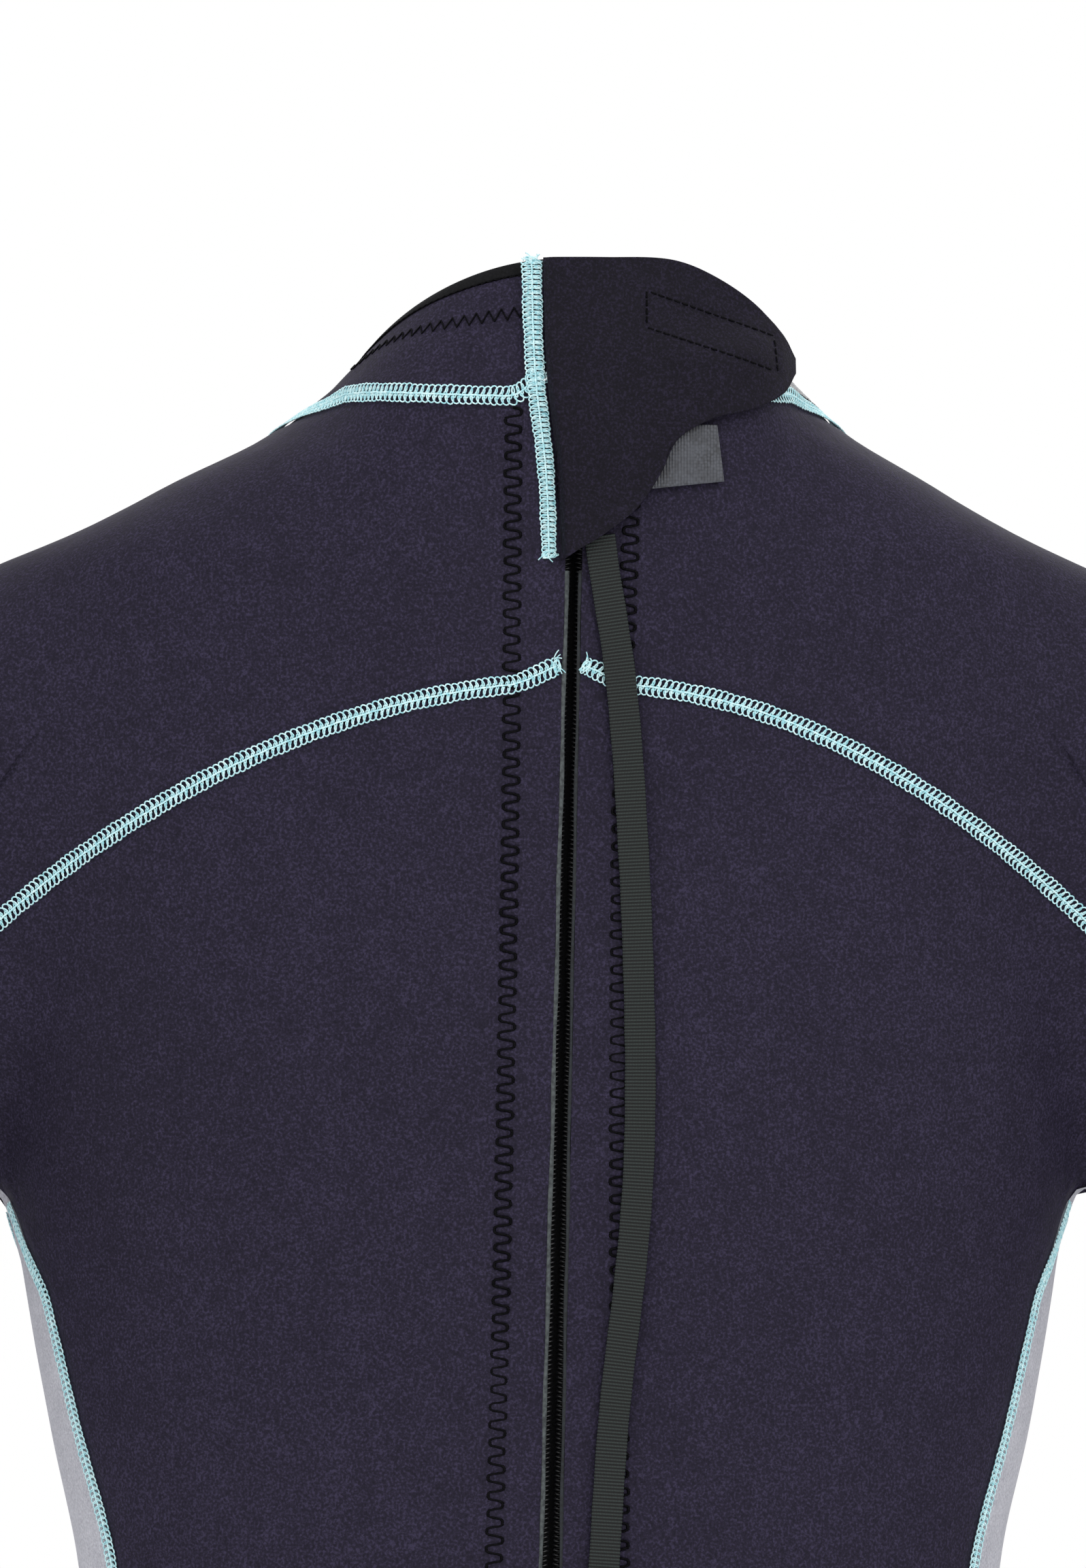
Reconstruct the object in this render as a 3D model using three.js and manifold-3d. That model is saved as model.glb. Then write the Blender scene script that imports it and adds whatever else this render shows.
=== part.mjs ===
// Full-length wetsuit with a back zip, standing as it is worn, in millimetres with +Z up.
// The origin is the base of the neck, the zipped back faces -Y, and the wearer's right is +X.
import * as THREE from 'three';
import Module from 'manifold-3d';
import { mergeVertices } from 'three/addons/utils/BufferGeometryUtils.js';

const wasm = await Module();
wasm.setup();

// ---- Driving dimensions -------------------------------------------------------------------

const FOAM = 3; // thickness of the neoprene
const SEAM_GAP = 0.8; // gap between two panels, under their flatlock seam
const INNER_TRIM = 0.5; // and how far their inner faces are drawn in from the seam
const CHEST_HALF = 177; // half widths of the suit, seen from behind
const WAIST_HALF = 149;
const HIP_HALF = 172;
const NECK_HALF = 88; // the seam between collar and shoulders
const NECK_BACK = 86; // depth of that seam behind and in front of NECK_CENTRE
const NECK_FRONT = 70;
const NECK_CENTRE = 2;
const COLLAR_HALF = 70; // the top edge of the collar
const COLLAR_BACK = 68;
const COLLAR_FRONT = 66;
const COLLAR_CENTRE = new THREE.Vector2(7.5, -6);
const COLLAR_THICK = 2.5;
const HEM = 5; // turned edge at the top of the collar
const ARM_LENGTH = 530; // shoulder to wrist hem
const ARM_TILT = 24; // degrees from the vertical
const WRIST_RADIUS = 30;
const HIP_SEAM = -600; // height where the legs are sewn on
const CROTCH = -700;
const KNEE = -1010;
const ANKLE = -1400; // lower edge of the leg panels
const SEAL = 20; // length of the wrist and ankle seals
const SEAM_WIDTH = 7; // flatlock stitching
const THREAD = 0.5;

const ZIP_TOP = 0; // heights of the two ends of the zip
const ZIP_BOTTOM = -560;
const ZIP_BACK = -88; // how far back the zip lies at the height ZIP_LEVEL
const ZIP_LEVEL = -50;
const ZIP_SLOPE = 0.07255; // how far back it goes for each millimetre down
const LEAN = 0.0251; // sideways run of the zip for each millimetre up
const LEAN_ZERO = -422; // height where the zip crosses the middle plane
const SLIT = 2.3; // half of the open slit over the coil, at the top
const SLIT_GROWTH = 0.0033; // and how much wider it gets for each millimetre down
const FLAT_HALF = 30; // half of the flat strip of back that carries the zip
const TAPE_HALF = 26;
const TAPE_THICK = 0.8;
const CLEAR = 0.35; // between pieces of the zip
const COIL_HALF = 4;
const COIL_THICK = 2.2;
const SLIDER_AT = -24; // height of the closed slider
const SLIDER_LENGTH = 13;
const TAB_LENGTH = 22;
const TAB_THICK = 1.1;
const TAB_LEAN = 20; // degrees that the pull tab lies over to the right
const LEASH_WIDTH = 10;
const LEASH_THICK = 1.2;
const FLAP_THICK = 2.5;
const FLAP_LIFT = 3; // room under the collar flap
const KNEE_PAD = 1.6;

// ---- Small mathematics ----------------------------------------------------------------------

const V = (x, y, z) => new THREE.Vector3(x, y, z);
const rad = THREE.MathUtils.degToRad;
const clamp = THREE.MathUtils.clamp;
const mix = (a, b, t) => a + (b - a) * t;
const lerp = (a, b, t) => a.clone().lerp(b, t);
const steps = (n) => Array.from({ length: n + 1 }, (_, i) => i / n);

function ramp(a, b, v) {
  const t = clamp((v - a) / (b - a), 0, 1);
  return t * t * (3 - 2 * t);
}

function softMin(a, b, k) {
  const h = Math.max(k - Math.abs(a - b), 0) / k;
  return Math.min(a, b) - (h * h * k) / 4;
}

// Smooth curve through rows of [place, value, value, ...], read at one place.
function along(rows, at, column = 1) {
  const last = rows.length - 1;
  const up = rows[last][0] > rows[0][0];
  const past = (i) => (up ? at > rows[i][0] : at < rows[i][0]);
  if (!past(0)) return rows[0][column];
  if (past(last)) return rows[last][column];
  let i = 0;
  while (past(i + 1)) i++;
  const slope = (j) => {
    const a = rows[Math.max(j - 1, 0)];
    const b = rows[Math.min(j + 1, last)];
    return (b[column] - a[column]) / (b[0] - a[0]);
  };
  const [a, b] = [rows[i], rows[i + 1]];
  const run = b[0] - a[0];
  const t = (at - a[0]) / run;
  return (
    a[column] * (1 + 2 * t) * (1 - t) ** 2 +
    slope(i) * run * t * (1 - t) ** 2 +
    b[column] * t * t * (3 - 2 * t) +
    slope(i + 1) * run * t * t * (t - 1)
  );
}

// Point at a share t of the length of a flat polyline.
function polyline(points, t) {
  const run = [0];
  for (let i = 1; i < points.length; i++) {
    run.push(run[i - 1] + Math.hypot(points[i][0] - points[i - 1][0], points[i][1] - points[i - 1][1]));
  }
  const want = t * run[run.length - 1];
  let i = 1;
  while (i < points.length - 1 && run[i] < want) i++;
  const share = (want - run[i - 1]) / (run[i] - run[i - 1]);
  return [0, 1].map((c) => mix(points[i - 1][c], points[i][c], share));
}

// ---- The body form that the suit is cut to -------------------------------------------------------

const zipDepth = (z) => ZIP_BACK + ZIP_SLOPE * (z - ZIP_LEVEL);

// Height, half width, back, front.
const TORSO = [
  [60, 70, -74, 60],
  [8, NECK_HALF - 10, zipDepth(8), 66],
  [-7, NECK_HALF + 2, zipDepth(-7), 68],
  [-30, NECK_HALF + 43, zipDepth(-30), 72],
  [-55, CHEST_HALF - 5, zipDepth(-55), 78],
  [-105, CHEST_HALF + 13, zipDepth(-105), 92],
  [-180, CHEST_HALF + 7, zipDepth(-180), 108],
  [-250, CHEST_HALF, zipDepth(-250), 112],
  [-306, mix(CHEST_HALF, WAIST_HALF, 0.31), zipDepth(-306), 108],
  [-340, mix(CHEST_HALF, WAIST_HALF, 0.54), zipDepth(-340), 104],
  [-382, mix(CHEST_HALF, WAIST_HALF, 0.86), zipDepth(-382), 98],
  [-430, WAIST_HALF, zipDepth(-430), 92],
  [-520, mix(WAIST_HALF, HIP_HALF, 0.48), zipDepth(-520), 90],
  [-620, HIP_HALF, zipDepth(-620), 92],
  [CROTCH, HIP_HALF + 2, -118, 88],
  [CROTCH - 100, HIP_HALF + 2, -110, 84],
];
const ROUNDNESS = 2.3; // between an ellipse, at 2, and a box

const ARM_ROOT = V(CHEST_HALF + 3, 0, -112);
const ARM_WAY = V(Math.sin(rad(ARM_TILT)), 0, -Math.cos(rad(ARM_TILT)));
const onArm = (share) => ARM_ROOT.clone().addScaledVector(ARM_WAY, share * ARM_LENGTH);
const ARM = [
  [onArm(0), 53, onArm(0.3), 47],
  [onArm(0.3), 47, onArm(0.54), 41],
  [onArm(0.54), 41, onArm(0.66), 43],
  [onArm(0.66), 43, onArm(1.1), WRIST_RADIUS - 2],
];
const LEG = [
  [V(92, -5, CROTCH), 80, V(98, 0, KNEE), 57],
  [V(98, 0, KNEE), 57, V(100, -12, KNEE - 100), 58],
  [V(100, -12, KNEE - 100), 58, V(109, -2, ANKLE - 40), 37],
];
const LEG_SOFT = 10; // rounds the inside of the legs where they meet

function limb(p, [a, ra, b, rb]) {
  const way = b.clone().sub(a);
  const from = p.clone().sub(a);
  const t = clamp(from.dot(way) / way.lengthSq(), 0, 1);
  return from.addScaledVector(way, -t).length() - mix(ra, rb, t);
}

// Less than 0 inside the suit's outer face, about the distance from it outside.
function body(x, y, z) {
  const side = Math.abs(x);
  const half = along(TORSO, z, 1);
  const back = along(TORSO, z, 2);
  const front = along(TORSO, z, 3);
  const centre = (back + front) / 2;
  const deep = (front - back) / 2;
  const far = Math.hypot(side, y - centre);
  const share = (side / half) ** ROUNDNESS + (Math.abs(y - centre) / deep) ** ROUNDNESS;
  let f = share > 1e-9 ? far - far / share ** (1 / ROUNDNESS) : -deep;
  f = -softMin(-f, z - CROTCH, 40);
  const p = V(side, y, z);
  let arm = 1e9;
  for (const piece of ARM) arm = softMin(arm, limb(p, piece), 20);
  f = softMin(f, arm, 28);
  p.x = Math.hypot(side, LEG_SOFT);
  let leg = 1e9;
  for (const piece of LEG) leg = softMin(leg, limb(p, piece), 24);
  f = softMin(f, leg, 34);
  f = softMin(f, p.distanceTo(V(76, -42, -640)) - 77, 50);
  const flat =
    (1 - ramp(FLAT_HALF + 3, 80, side)) *
    ramp(ZIP_BOTTOM - 90, ZIP_BOTTOM - 5, z) *
    (1 - ramp(10, 28, z)) *
    ramp(0, 40, -y);
  return mix(f, zipDepth(z) - y, flat);
}

function slopeOf(field, p) {
  const e = 0.5;
  return V(
    field(p.x + e, p.y, p.z) - field(p.x - e, p.y, p.z),
    field(p.x, p.y + e, p.z) - field(p.x, p.y - e, p.z),
    field(p.x, p.y, p.z + e) - field(p.x, p.y, p.z - e),
  ).divideScalar(2 * e);
}
const bodyNormal = (p) => slopeOf(body, p).normalize();

function settle(p, field = body, level = 0) {
  for (let i = 0; i < 8; i++) {
    const slope = slopeOf(field, p);
    p.addScaledVector(slope, (level - field(p.x, p.y, p.z)) / Math.max(slope.lengthSq(), 0.04));
  }
  return p;
}

// First place along a ray where the field passes a level, going out of the form or into it.
function crossing(field, from, way, level, sign, reach) {
  const at = (t) => sign * (field(from.x + way.x * t, from.y + way.y * t, from.z + way.z * t) - level);
  let [near, best, nearest] = [0, 0, Infinity];
  for (let t = 0; t < reach; ) {
    const v = at(t);
    if (v > 0) {
      let [a, b] = [near, t];
      for (let i = 0; i < 26; i++) {
        const m = (a + b) / 2;
        if (at(m) > 0) b = m;
        else a = m;
      }
      return from.clone().addScaledVector(way, b);
    }
    if (-v < nearest) [nearest, best] = [-v, t];
    near = t;
    t += Math.max(1, -v * 0.5);
  }
  return from.clone().addScaledVector(way, best);
}
const outward = (from, way) => crossing(body, from, way, 0, 1, 400);
const fromBehind = (x, z, field = body, level = 0) =>
  crossing(field, V(x, -180, z), V(0, 1, 0), level, -1, 240);

// The whole suit hangs a little to one side near the neck.
function leanBy(x, z) {
  const held = z < ZIP_BOTTOM ? 1 - ramp(-ZIP_BOTTOM, 160 - ZIP_BOTTOM, -z) : 1;
  const run = LEAN * (clamp(z, ZIP_BOTTOM, 10) - LEAN_ZERO);
  return held * run * (1 - ramp(20, 200, Math.abs(x)));
}
const leaned = (p) => V(p.x + leanBy(p.x, p.z), p.y, p.z);

// ---- Ways to walk over the form ------------------------------------------------------------------

const LEG_LINE = 105; // the torso is walked round its middle, a leg round this line
const roundTorso = {
  read: (p) => [Math.atan2(p.y, p.x), p.z],
  point: ([turn, z]) => outward(V(0, 0, z), V(Math.cos(turn), Math.sin(turn), 0)),
};
const roundLeg = {
  read: (p) => [Math.atan2(p.y + 2, p.x - LEG_LINE), p.z],
  point: ([turn, z]) => outward(V(LEG_LINE, -2, z), V(Math.cos(turn), Math.sin(turn), 0)),
};

// A shoulder and its arm are walked round a line that runs out from the neck and down the arm.
const SHOULDER_X = CHEST_HALF - 12;
const PIVOT = V(SHOULDER_X, 0, -300);
const FAN = rad(90 - ARM_TILT);
const FAN_RUN = 180; // millimetres of walk for each radian of the fan
const FAN_END = SHOULDER_X + FAN * FAN_RUN;
const fanUp = (turn) => V(Math.sin(turn), 0, Math.cos(turn));
function fanLine(share) {
  const up = fanUp(share * FAN);
  const root = ARM_ROOT.clone().sub(PIVOT);
  const cross = up.x * ARM_WAY.z - up.z * ARM_WAY.x;
  const onAxis = (root.x * ARM_WAY.z - root.z * ARM_WAY.x) / cross;
  return mix(190, onAxis, ramp(0, 0.3, share));
}
const FAN_TIP = PIVOT.clone().addScaledVector(fanUp(FAN), fanLine(1));
const WRIST = FAN_END + onArm(1).sub(FAN_TIP).dot(ARM_WAY);

function armLine(s) {
  if (s < SHOULDER_X) return [V(s, 0, -110), fanUp(0)];
  if (s < FAN_END) {
    const turn = (s - SHOULDER_X) / FAN_RUN;
    return [PIVOT.clone().addScaledVector(fanUp(turn), fanLine(turn / FAN)), fanUp(turn)];
  }
  return [FAN_TIP.clone().addScaledVector(ARM_WAY, s - FAN_END), fanUp(FAN)];
}
const roundArm = {
  read(p) {
    const turn = Math.atan2(p.x - PIVOT.x, p.z - PIVOT.z);
    let s = p.x;
    if (turn > FAN) s = FAN_END + p.clone().sub(FAN_TIP).dot(ARM_WAY);
    else if (turn > 0) s = SHOULDER_X + turn * FAN_RUN;
    const [middle, up] = armLine(s);
    const from = p.clone().sub(middle);
    return [Math.atan2(from.dot(up), -from.y), s];
  },
  point([turn, s]) {
    const [middle, up] = armLine(s);
    return outward(middle, up.multiplyScalar(Math.sin(turn)).add(V(0, -Math.cos(turn), 0)));
  },
};

// ---- Seams, on the right side; the left is their mirror image --------------------------------------

const slitHalf = (z) => (z > ZIP_BOTTOM ? SLIT + SLIT_GROWTH * Math.max(0, ZIP_LEVEL - z) : SEAM_GAP / 2);
const neckHeight = (x, y) => Math.min(-18 - 0.42 * y - 0.0016 * y * y, -0.5) + 8 * (1 - ramp(9, 22, x));
function neckPoint(turn) {
  const c = Math.cos(turn);
  const x = NECK_HALF * Math.sin(turn);
  const y = NECK_CENTRE - (c > 0 ? NECK_BACK : NECK_FRONT) * c;
  return settle(V(x, y, neckHeight(x, y)));
}

// The back arch seam leaves the zip low on the shoulders and falls to the back of the armpit.
const ARCH_AT = [0, 30, 58, 88, 120, 155, CHEST_HALF + 13];
const archHeight = (x) => -93 - 0.00245 * x * x + 6 * (1 - ramp(0, 20, x));
const archSeam = ARCH_AT.map((x) => {
  const z = archHeight(x);
  return x === 0 ? V(slitHalf(z), zipDepth(z), z) : fromBehind(x, z);
});
const backPit = archSeam[archSeam.length - 1];
const frontPit = settle(V(CHEST_HALF + 8, 44, -200));
const neckRaglan = rad(125);

// Under the arm, from the back pit to the front pit, with the grey side panel in the middle.
const pitBack = roundArm.read(backPit);
const pitFront = roundArm.read(frontPit);
const PIT_DROP = 66;
const pitShares = [0, 0.22, 0.42, 0.5, 0.58, 0.78, 1];
const pitSeam = pitShares.map((t) => {
  if (t === 0) return backPit;
  if (t === 1) return frontPit;
  const drop = PIT_DROP * Math.sin(Math.PI * t) ** 0.8;
  return roundArm.point([mix(pitBack[0], pitFront[0], t), mix(pitBack[1], pitFront[1], t) + drop]);
});

// Over the arm, from the back pit to the front pit.
const RING_COUNT = 8;
const RING_DROP = 200;
const ringSeam = steps(RING_COUNT).map((t) => {
  if (t === 0) return backPit;
  if (t === 1) return frontPit;
  const turn = mix(pitBack[0], pitFront[0] + 2 * Math.PI, t);
  return roundArm.point([turn, mix(pitBack[1], pitFront[1], t) + RING_DROP * Math.sin(Math.PI * t) ** 0.7]);
});

// The front raglan seam, from the front pit to the neck.
const RAGLAN_COUNT = 6;
const raglanTop = neckPoint(neckRaglan);
const raglanSeam = steps(RAGLAN_COUNT).map((t) => {
  if (t === 0) return frontPit;
  if (t === 1) return raglanTop;
  const [a, b] = [roundTorso.read(frontPit), roundTorso.read(raglanTop)];
  return roundTorso.point([mix(a[0], b[0], t), mix(a[1], b[1], t)]);
});

// The neck seam: one point for each line of the shoulder panel, then on round the front.
const NECK_TURNS = [0, 20, 38, 52, 62, 70, 76].map(rad);
for (const t of steps(RING_COUNT).slice(1)) NECK_TURNS.push(mix(rad(76), neckRaglan, t));
const FRONT_COUNT = 3;
const neckBack = NECK_TURNS.map((turn, i) => {
  const p = neckPoint(turn);
  if (i === 0) p.x = SLIT;
  return p;
});
const neckFront = steps(FRONT_COUNT).map((t) => neckPoint(mix(neckRaglan, Math.PI, t)));

// Both side seams, as heights and turns round the torso, down to the hip seam.
const SIDE_COUNT = 10;
const sideShares = steps(SIDE_COUNT).map((t) => t ** 1.35);
const sideSeam = (top, rows) => {
  const start = roundTorso.read(top);
  return sideShares.map((t) => {
    if (t === 0) return top;
    const z = mix(start[1], HIP_SEAM, t);
    const blend = ramp(0, 1, (start[1] - z) / 36);
    return roundTorso.point([mix(start[0], rad(along(rows, z)), blend), z]);
  });
};
const SIDE_BACK = [[-250, -5], [-270, -10], [-307, -14.5], [-333, -17], [-382, -22]]
  .concat([[-450, -25], [-600, -21]]);
const SIDE_FRONT = [[-250, 5], [-300, 14], [-382, 20], [-450, 22], [-600, 16]];
const sideBack = sideSeam(pitSeam[2], SIDE_BACK);
const sideFront = sideSeam(pitSeam[4], SIDE_FRONT);

// Leg seams: outer back, outer front, and the middle that turns into the inside of the leg.
const LEG_COUNT = 14;
const LEG_MIDDLE_COUNT = 4; // rows down to the crotch
const legHeights = [0, 40, 78, 112, 150]
  .map((drop) => HIP_SEAM - drop)
  .concat(steps(LEG_COUNT - LEG_MIDDLE_COUNT).slice(1).map((t) => mix(HIP_SEAM - 150, ANKLE, t)));
const legSeam = (top, degrees) =>
  legHeights.map((z, i) => {
    if (i === 0) return top;
    const turn = mix(roundLeg.read(top)[0], rad(degrees), ramp(HIP_SEAM, HIP_SEAM - 250, z));
    return roundLeg.point([turn, z]);
  });
const legOuterBack = legSeam(sideBack[SIDE_COUNT], -28);
const legOuterFront = legSeam(sideFront[SIDE_COUNT], 28);
const SEAT_HEART = V(0, -2, HIP_SEAM - 60); // the middle seam turns under the crotch round this point
const legInner = (way) =>
  legHeights.map((z, i) => {
    if (i > LEG_MIDDLE_COUNT) return roundLeg.point([Math.PI, z]);
    if (i === LEG_MIDDLE_COUNT) return outward(SEAT_HEART, V(0, 0, -1));
    if (i === LEG_MIDDLE_COUNT - 1) return outward(SEAT_HEART, V(0, 0.75 * way, -0.66));
    return outward(V(0, -2, z), V(0, way, 0));
  });
const legInnerBack = legInner(-1);
const legInnerFront = legInner(1);

// ---- Solids from grids of points --------------------------------------------------------------------

function closedSolid(vertices, quads) {
  const index = [];
  for (const [a, b, c, d] of quads) index.push(a, b, c, a, c, d);
  let volume = 0;
  for (let i = 0; i < index.length; i += 3) {
    const [a, b, c] = [vertices[index[i]], vertices[index[i + 1]], vertices[index[i + 2]]];
    volume += a.dot(b.clone().cross(c));
  }
  if (volume < 0) index.reverse();
  const geometry = new THREE.BufferGeometry();
  const numbers = vertices.flatMap((v) => v.toArray());
  geometry.setAttribute('position', new THREE.Float32BufferAttribute(numbers, 3));
  geometry.setIndex(index);
  return geometry;
}

// A wall between two grids of points with the same rows; round says that the columns close up.
function wall(outer, inner, round = false) {
  const rows = outer.length;
  const columns = outer[0].length;
  const id = (side, i, j) => side * rows * columns + i * columns + (j % columns);
  const across = round ? columns : columns - 1;
  const quads = [];
  for (let i = 0; i < rows - 1; i++) {
    for (let j = 0; j < across; j++) {
      quads.push([id(0, i, j), id(0, i, j + 1), id(0, i + 1, j + 1), id(0, i + 1, j)]);
      quads.push([id(1, i, j), id(1, i + 1, j), id(1, i + 1, j + 1), id(1, i, j + 1)]);
    }
  }
  for (let j = 0; j < across; j++) {
    quads.push([id(0, 0, j + 1), id(0, 0, j), id(1, 0, j), id(1, 0, j + 1)]);
    quads.push([id(0, rows - 1, j), id(0, rows - 1, j + 1), id(1, rows - 1, j + 1), id(1, rows - 1, j)]);
  }
  for (let i = 0; i < rows - 1 && !round; i++) {
    quads.push([id(0, i, 0), id(0, i + 1, 0), id(1, i + 1, 0), id(1, i, 0)]);
    const e = columns - 1;
    quads.push([id(0, i + 1, e), id(0, i, e), id(1, i, e), id(1, i + 1, e)]);
  }
  return closedSolid([...outer.flat(), ...inner.flat()], quads);
}

// Draws the edges of a grid in by half the seam gap, square to each edge.
function trimmed(grid, by = SEAM_GAP / 2) {
  const rows = grid.length - 1;
  const columns = grid[0].length - 1;
  const pull = (p, inside, before, after) => {
    const tangent = after.clone().sub(before).normalize();
    const way = inside.clone().sub(p);
    way.addScaledVector(tangent, -way.dot(tangent)).normalize();
    return way.multiplyScalar(by);
  };
  return grid.map((row, i) =>
    row.map((p, j) => {
      const moved = p.clone();
      const [left, right] = [row[Math.max(j - 1, 0)], row[Math.min(j + 1, columns)]];
      const [above, below] = [grid[Math.max(i - 1, 0)][j], grid[Math.min(i + 1, rows)][j]];
      if (i === 0) moved.add(pull(p, grid[1][j], left, right));
      if (i === rows) moved.add(pull(p, grid[rows - 1][j], left, right));
      if (j === 0) moved.add(pull(p, row[1], above, below));
      if (j === columns) moved.add(pull(p, row[columns - 1], above, below));
      return moved;
    }),
  );
}

const offset = (grid, normals, by) =>
  grid.map((row, i) => row.map((p, j) => p.clone().addScaledVector(normals[i][j], by)));

// A panel of foam: its outer face is the grid, its inner face lies one thickness below.
function foamPanel(grid, thick = FOAM, lift = 0) {
  const normals = grid.map((row) => row.map(bodyNormal));
  const outer = offset(grid, normals, lift).map((row) => row.map(leaned));
  const inner = offset(grid, normals, lift - thick).map((row) => row.map(leaned));
  return wall(trimmed(outer), trimmed(inner, INNER_TRIM));
}

// Fills a grid between its four edges, walking over the form.
function fill(walk, top, bottom, left, right) {
  const rows = left.length - 1;
  const columns = top.length - 1;
  const share = (line) => {
    const run = [0];
    for (let i = 1; i < line.length; i++) run.push(run[i - 1] + line[i].distanceTo(line[i - 1]));
    return run.map((v) => v / run[run.length - 1]);
  };
  const [su, sd, sl, sr] = [top, bottom, left, right].map(share);
  const [u, d, l, r] = [top, bottom, left, right].map((line) => unwound(line.map(walk.read)));
  follow(l, u[0]);
  follow(r, u[columns]);
  follow(d, l[rows]);
  return steps(rows).map((_, i) =>
    steps(columns).map((__, j) => {
      if (i === 0) return top[j];
      if (i === rows) return bottom[j];
      if (j === 0) return left[i];
      if (j === columns) return right[i];
      const x = mix(su[j], sd[j], i / rows);
      const y = mix(sl[i], sr[i], j / columns);
      const place = [0, 1].map(
        (c) =>
          mix(u[j][c], d[j][c], y) + mix(l[i][c], r[i][c], x) -
          mix(mix(u[0][c], u[columns][c], x), mix(d[0][c], d[columns][c], x), y),
      );
      return walk.point(place);
    }),
  );
}

// Turns that follow on from each other without a jump of a whole turn.
function unwound(places) {
  for (let i = 1; i < places.length; i++) {
    places[i][0] -= 2 * Math.PI * Math.round((places[i][0] - places[i - 1][0]) / (2 * Math.PI));
  }
  return places;
}
function follow(places, start) {
  const whole = 2 * Math.PI * Math.round((places[0][0] - start[0]) / (2 * Math.PI));
  for (const place of places) place[0] -= whole;
}

const mirrored = (grid) => grid.map((row) => row.map((p) => V(-p.x, p.y, p.z)));

// ---- Materials and the part list ----------------------------------------------------------------

const paint = (color, roughness, metalness = 0) =>
  new THREE.MeshStandardMaterial({ color, roughness, metalness });
const NAVY = paint('#2b2838', 0.85);
const GREY = paint('#b4b4bb', 0.85);
const BLACK = paint('#17171b', 0.7);
const CYAN = paint('#a9dfe6', 0.6);
const WEB = paint('#262c28', 0.8);
const HOOK = paint('#4c4d52', 0.6);
const METAL = paint('#2a2a2c', 0.35, 0.8);

const suit = new THREE.Group();
function add(name, geometry, material, parent = suit) {
  const mesh = new THREE.Mesh(geometry, material);
  mesh.name = name;
  parent.add(mesh);
  return mesh;
}
function both(name, grid, material, thick = FOAM, lift = 0) {
  add(`${name}_right`, foamPanel(grid, thick, lift), material);
  add(`${name}_left`, foamPanel(mirrored(grid), thick, lift), material);
}

// ---- Panels ------------------------------------------------------------------------------------------

// Torso back: from the arch seam and the back of the armpit down to the hip seam.
const backTop = [...archSeam, ...pitSeam.slice(1, 3)];
const backInner = sideShares.map((t) => {
  if (t === 0) return backTop[0];
  const z = mix(backTop[0].z, HIP_SEAM, t);
  return fromBehind(slitHalf(z), z);
});
const HIP_BACK_X = [0, 30, 56, 82, 106, 126, 142, 152];
const hipBack = backTop.map((_, j) => {
  if (j === 0) return backInner[SIDE_COUNT];
  if (j === backTop.length - 1) return sideBack[SIDE_COUNT];
  return fromBehind(HIP_BACK_X[j] * (HIP_HALF / 172), HIP_SEAM);
});
const backPanel = fill(roundTorso, backTop, hipBack, backInner, sideBack);
both('back_panel', backPanel, NAVY);

// Side of the torso, light grey.
const sideTop = pitSeam.slice(2, 5);
const hipSide = [sideBack[SIDE_COUNT], roundTorso.point([0, HIP_SEAM]), sideFront[SIDE_COUNT]];
const sidePanel = fill(roundTorso, sideTop, hipSide, sideBack, sideFront);
both('side_panel', sidePanel, GREY);

// Torso front, one panel from side seam to side seam; half of it is filled and mirrored.
const frontTop = [...pitSeam.slice(4), ...raglanSeam.slice(1), ...neckFront.slice(1)];
const hipFrontStart = roundTorso.read(sideFront[SIDE_COUNT])[0];
const hipFront = steps(frontTop.length - 1).map((t) =>
  t === 0 ? sideFront[SIDE_COUNT] : roundTorso.point([mix(hipFrontStart, Math.PI / 2, t ** 0.9), HIP_SEAM]),
);
const frontMiddle = sideShares.map((t) => {
  if (t === 0) return frontTop[frontTop.length - 1];
  return roundTorso.point([Math.PI / 2, mix(frontTop[frontTop.length - 1].z, HIP_SEAM, t)]);
});
const frontHalf = fill(roundTorso, frontTop, hipFront, sideFront, frontMiddle);
const frontPanel = frontHalf.map((row) => [
  ...row,
  ...row.slice(0, -1).reverse().map((p) => V(-p.x, p.y, p.z)),
]);
add('front_panel', foamPanel(frontPanel), NAVY);

// Shoulder: lines from the neck seam out to the arch, the arm ring and the front raglan.
const SHOULDER_ROWS = RAGLAN_COUNT;
const shoulderOut = [...archSeam, ...ringSeam.slice(1)];
const zipAbove = steps(SHOULDER_ROWS).map((t) => {
  const z = mix(neckBack[0].z, archSeam[0].z, t);
  return t === 0 ? neckBack[0] : t === 1 ? archSeam[0] : V(slitHalf(z), zipDepth(z), z);
});
const raglanDown = [...raglanSeam].reverse();
const shoulderPanel = fill(roundArm, neckBack, shoulderOut, zipAbove, raglanDown);
both('shoulder_panel', shoulderPanel, NAVY);

// Sleeve and the grey strip under it.
const SLEEVE_COUNT = 9;
const sleeveEdge = (top, degrees) => {
  const [turn, s] = roundArm.read(top);
  const round = Math.abs(turn - rad(degrees)) > Math.PI ? 2 * Math.PI * Math.sign(rad(degrees) - turn) : 0;
  return steps(SLEEVE_COUNT).map((t) => {
    if (t === 0) return top;
    return roundArm.point([mix(turn + round, rad(degrees), ramp(0, 0.4, t)), mix(s, WRIST, t)]);
  });
};
const sleeveBack = sleeveEdge(backPit, -52);
const sleeveFront = sleeveEdge(frontPit, 232);
const wristOver = steps(RING_COUNT).map((t) => roundArm.point([rad(mix(-52, 232, t)), WRIST]));
const wristUnder = pitShares.map((t) => roundArm.point([rad(mix(-52, -128, t)), WRIST]));
both('sleeve_panel', fill(roundArm, ringSeam, wristOver, sleeveBack, sleeveFront), NAVY);
both('underarm_panel', fill(roundArm, pitSeam, wristUnder, sleeveBack, sleeveFront), GREY);

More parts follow.
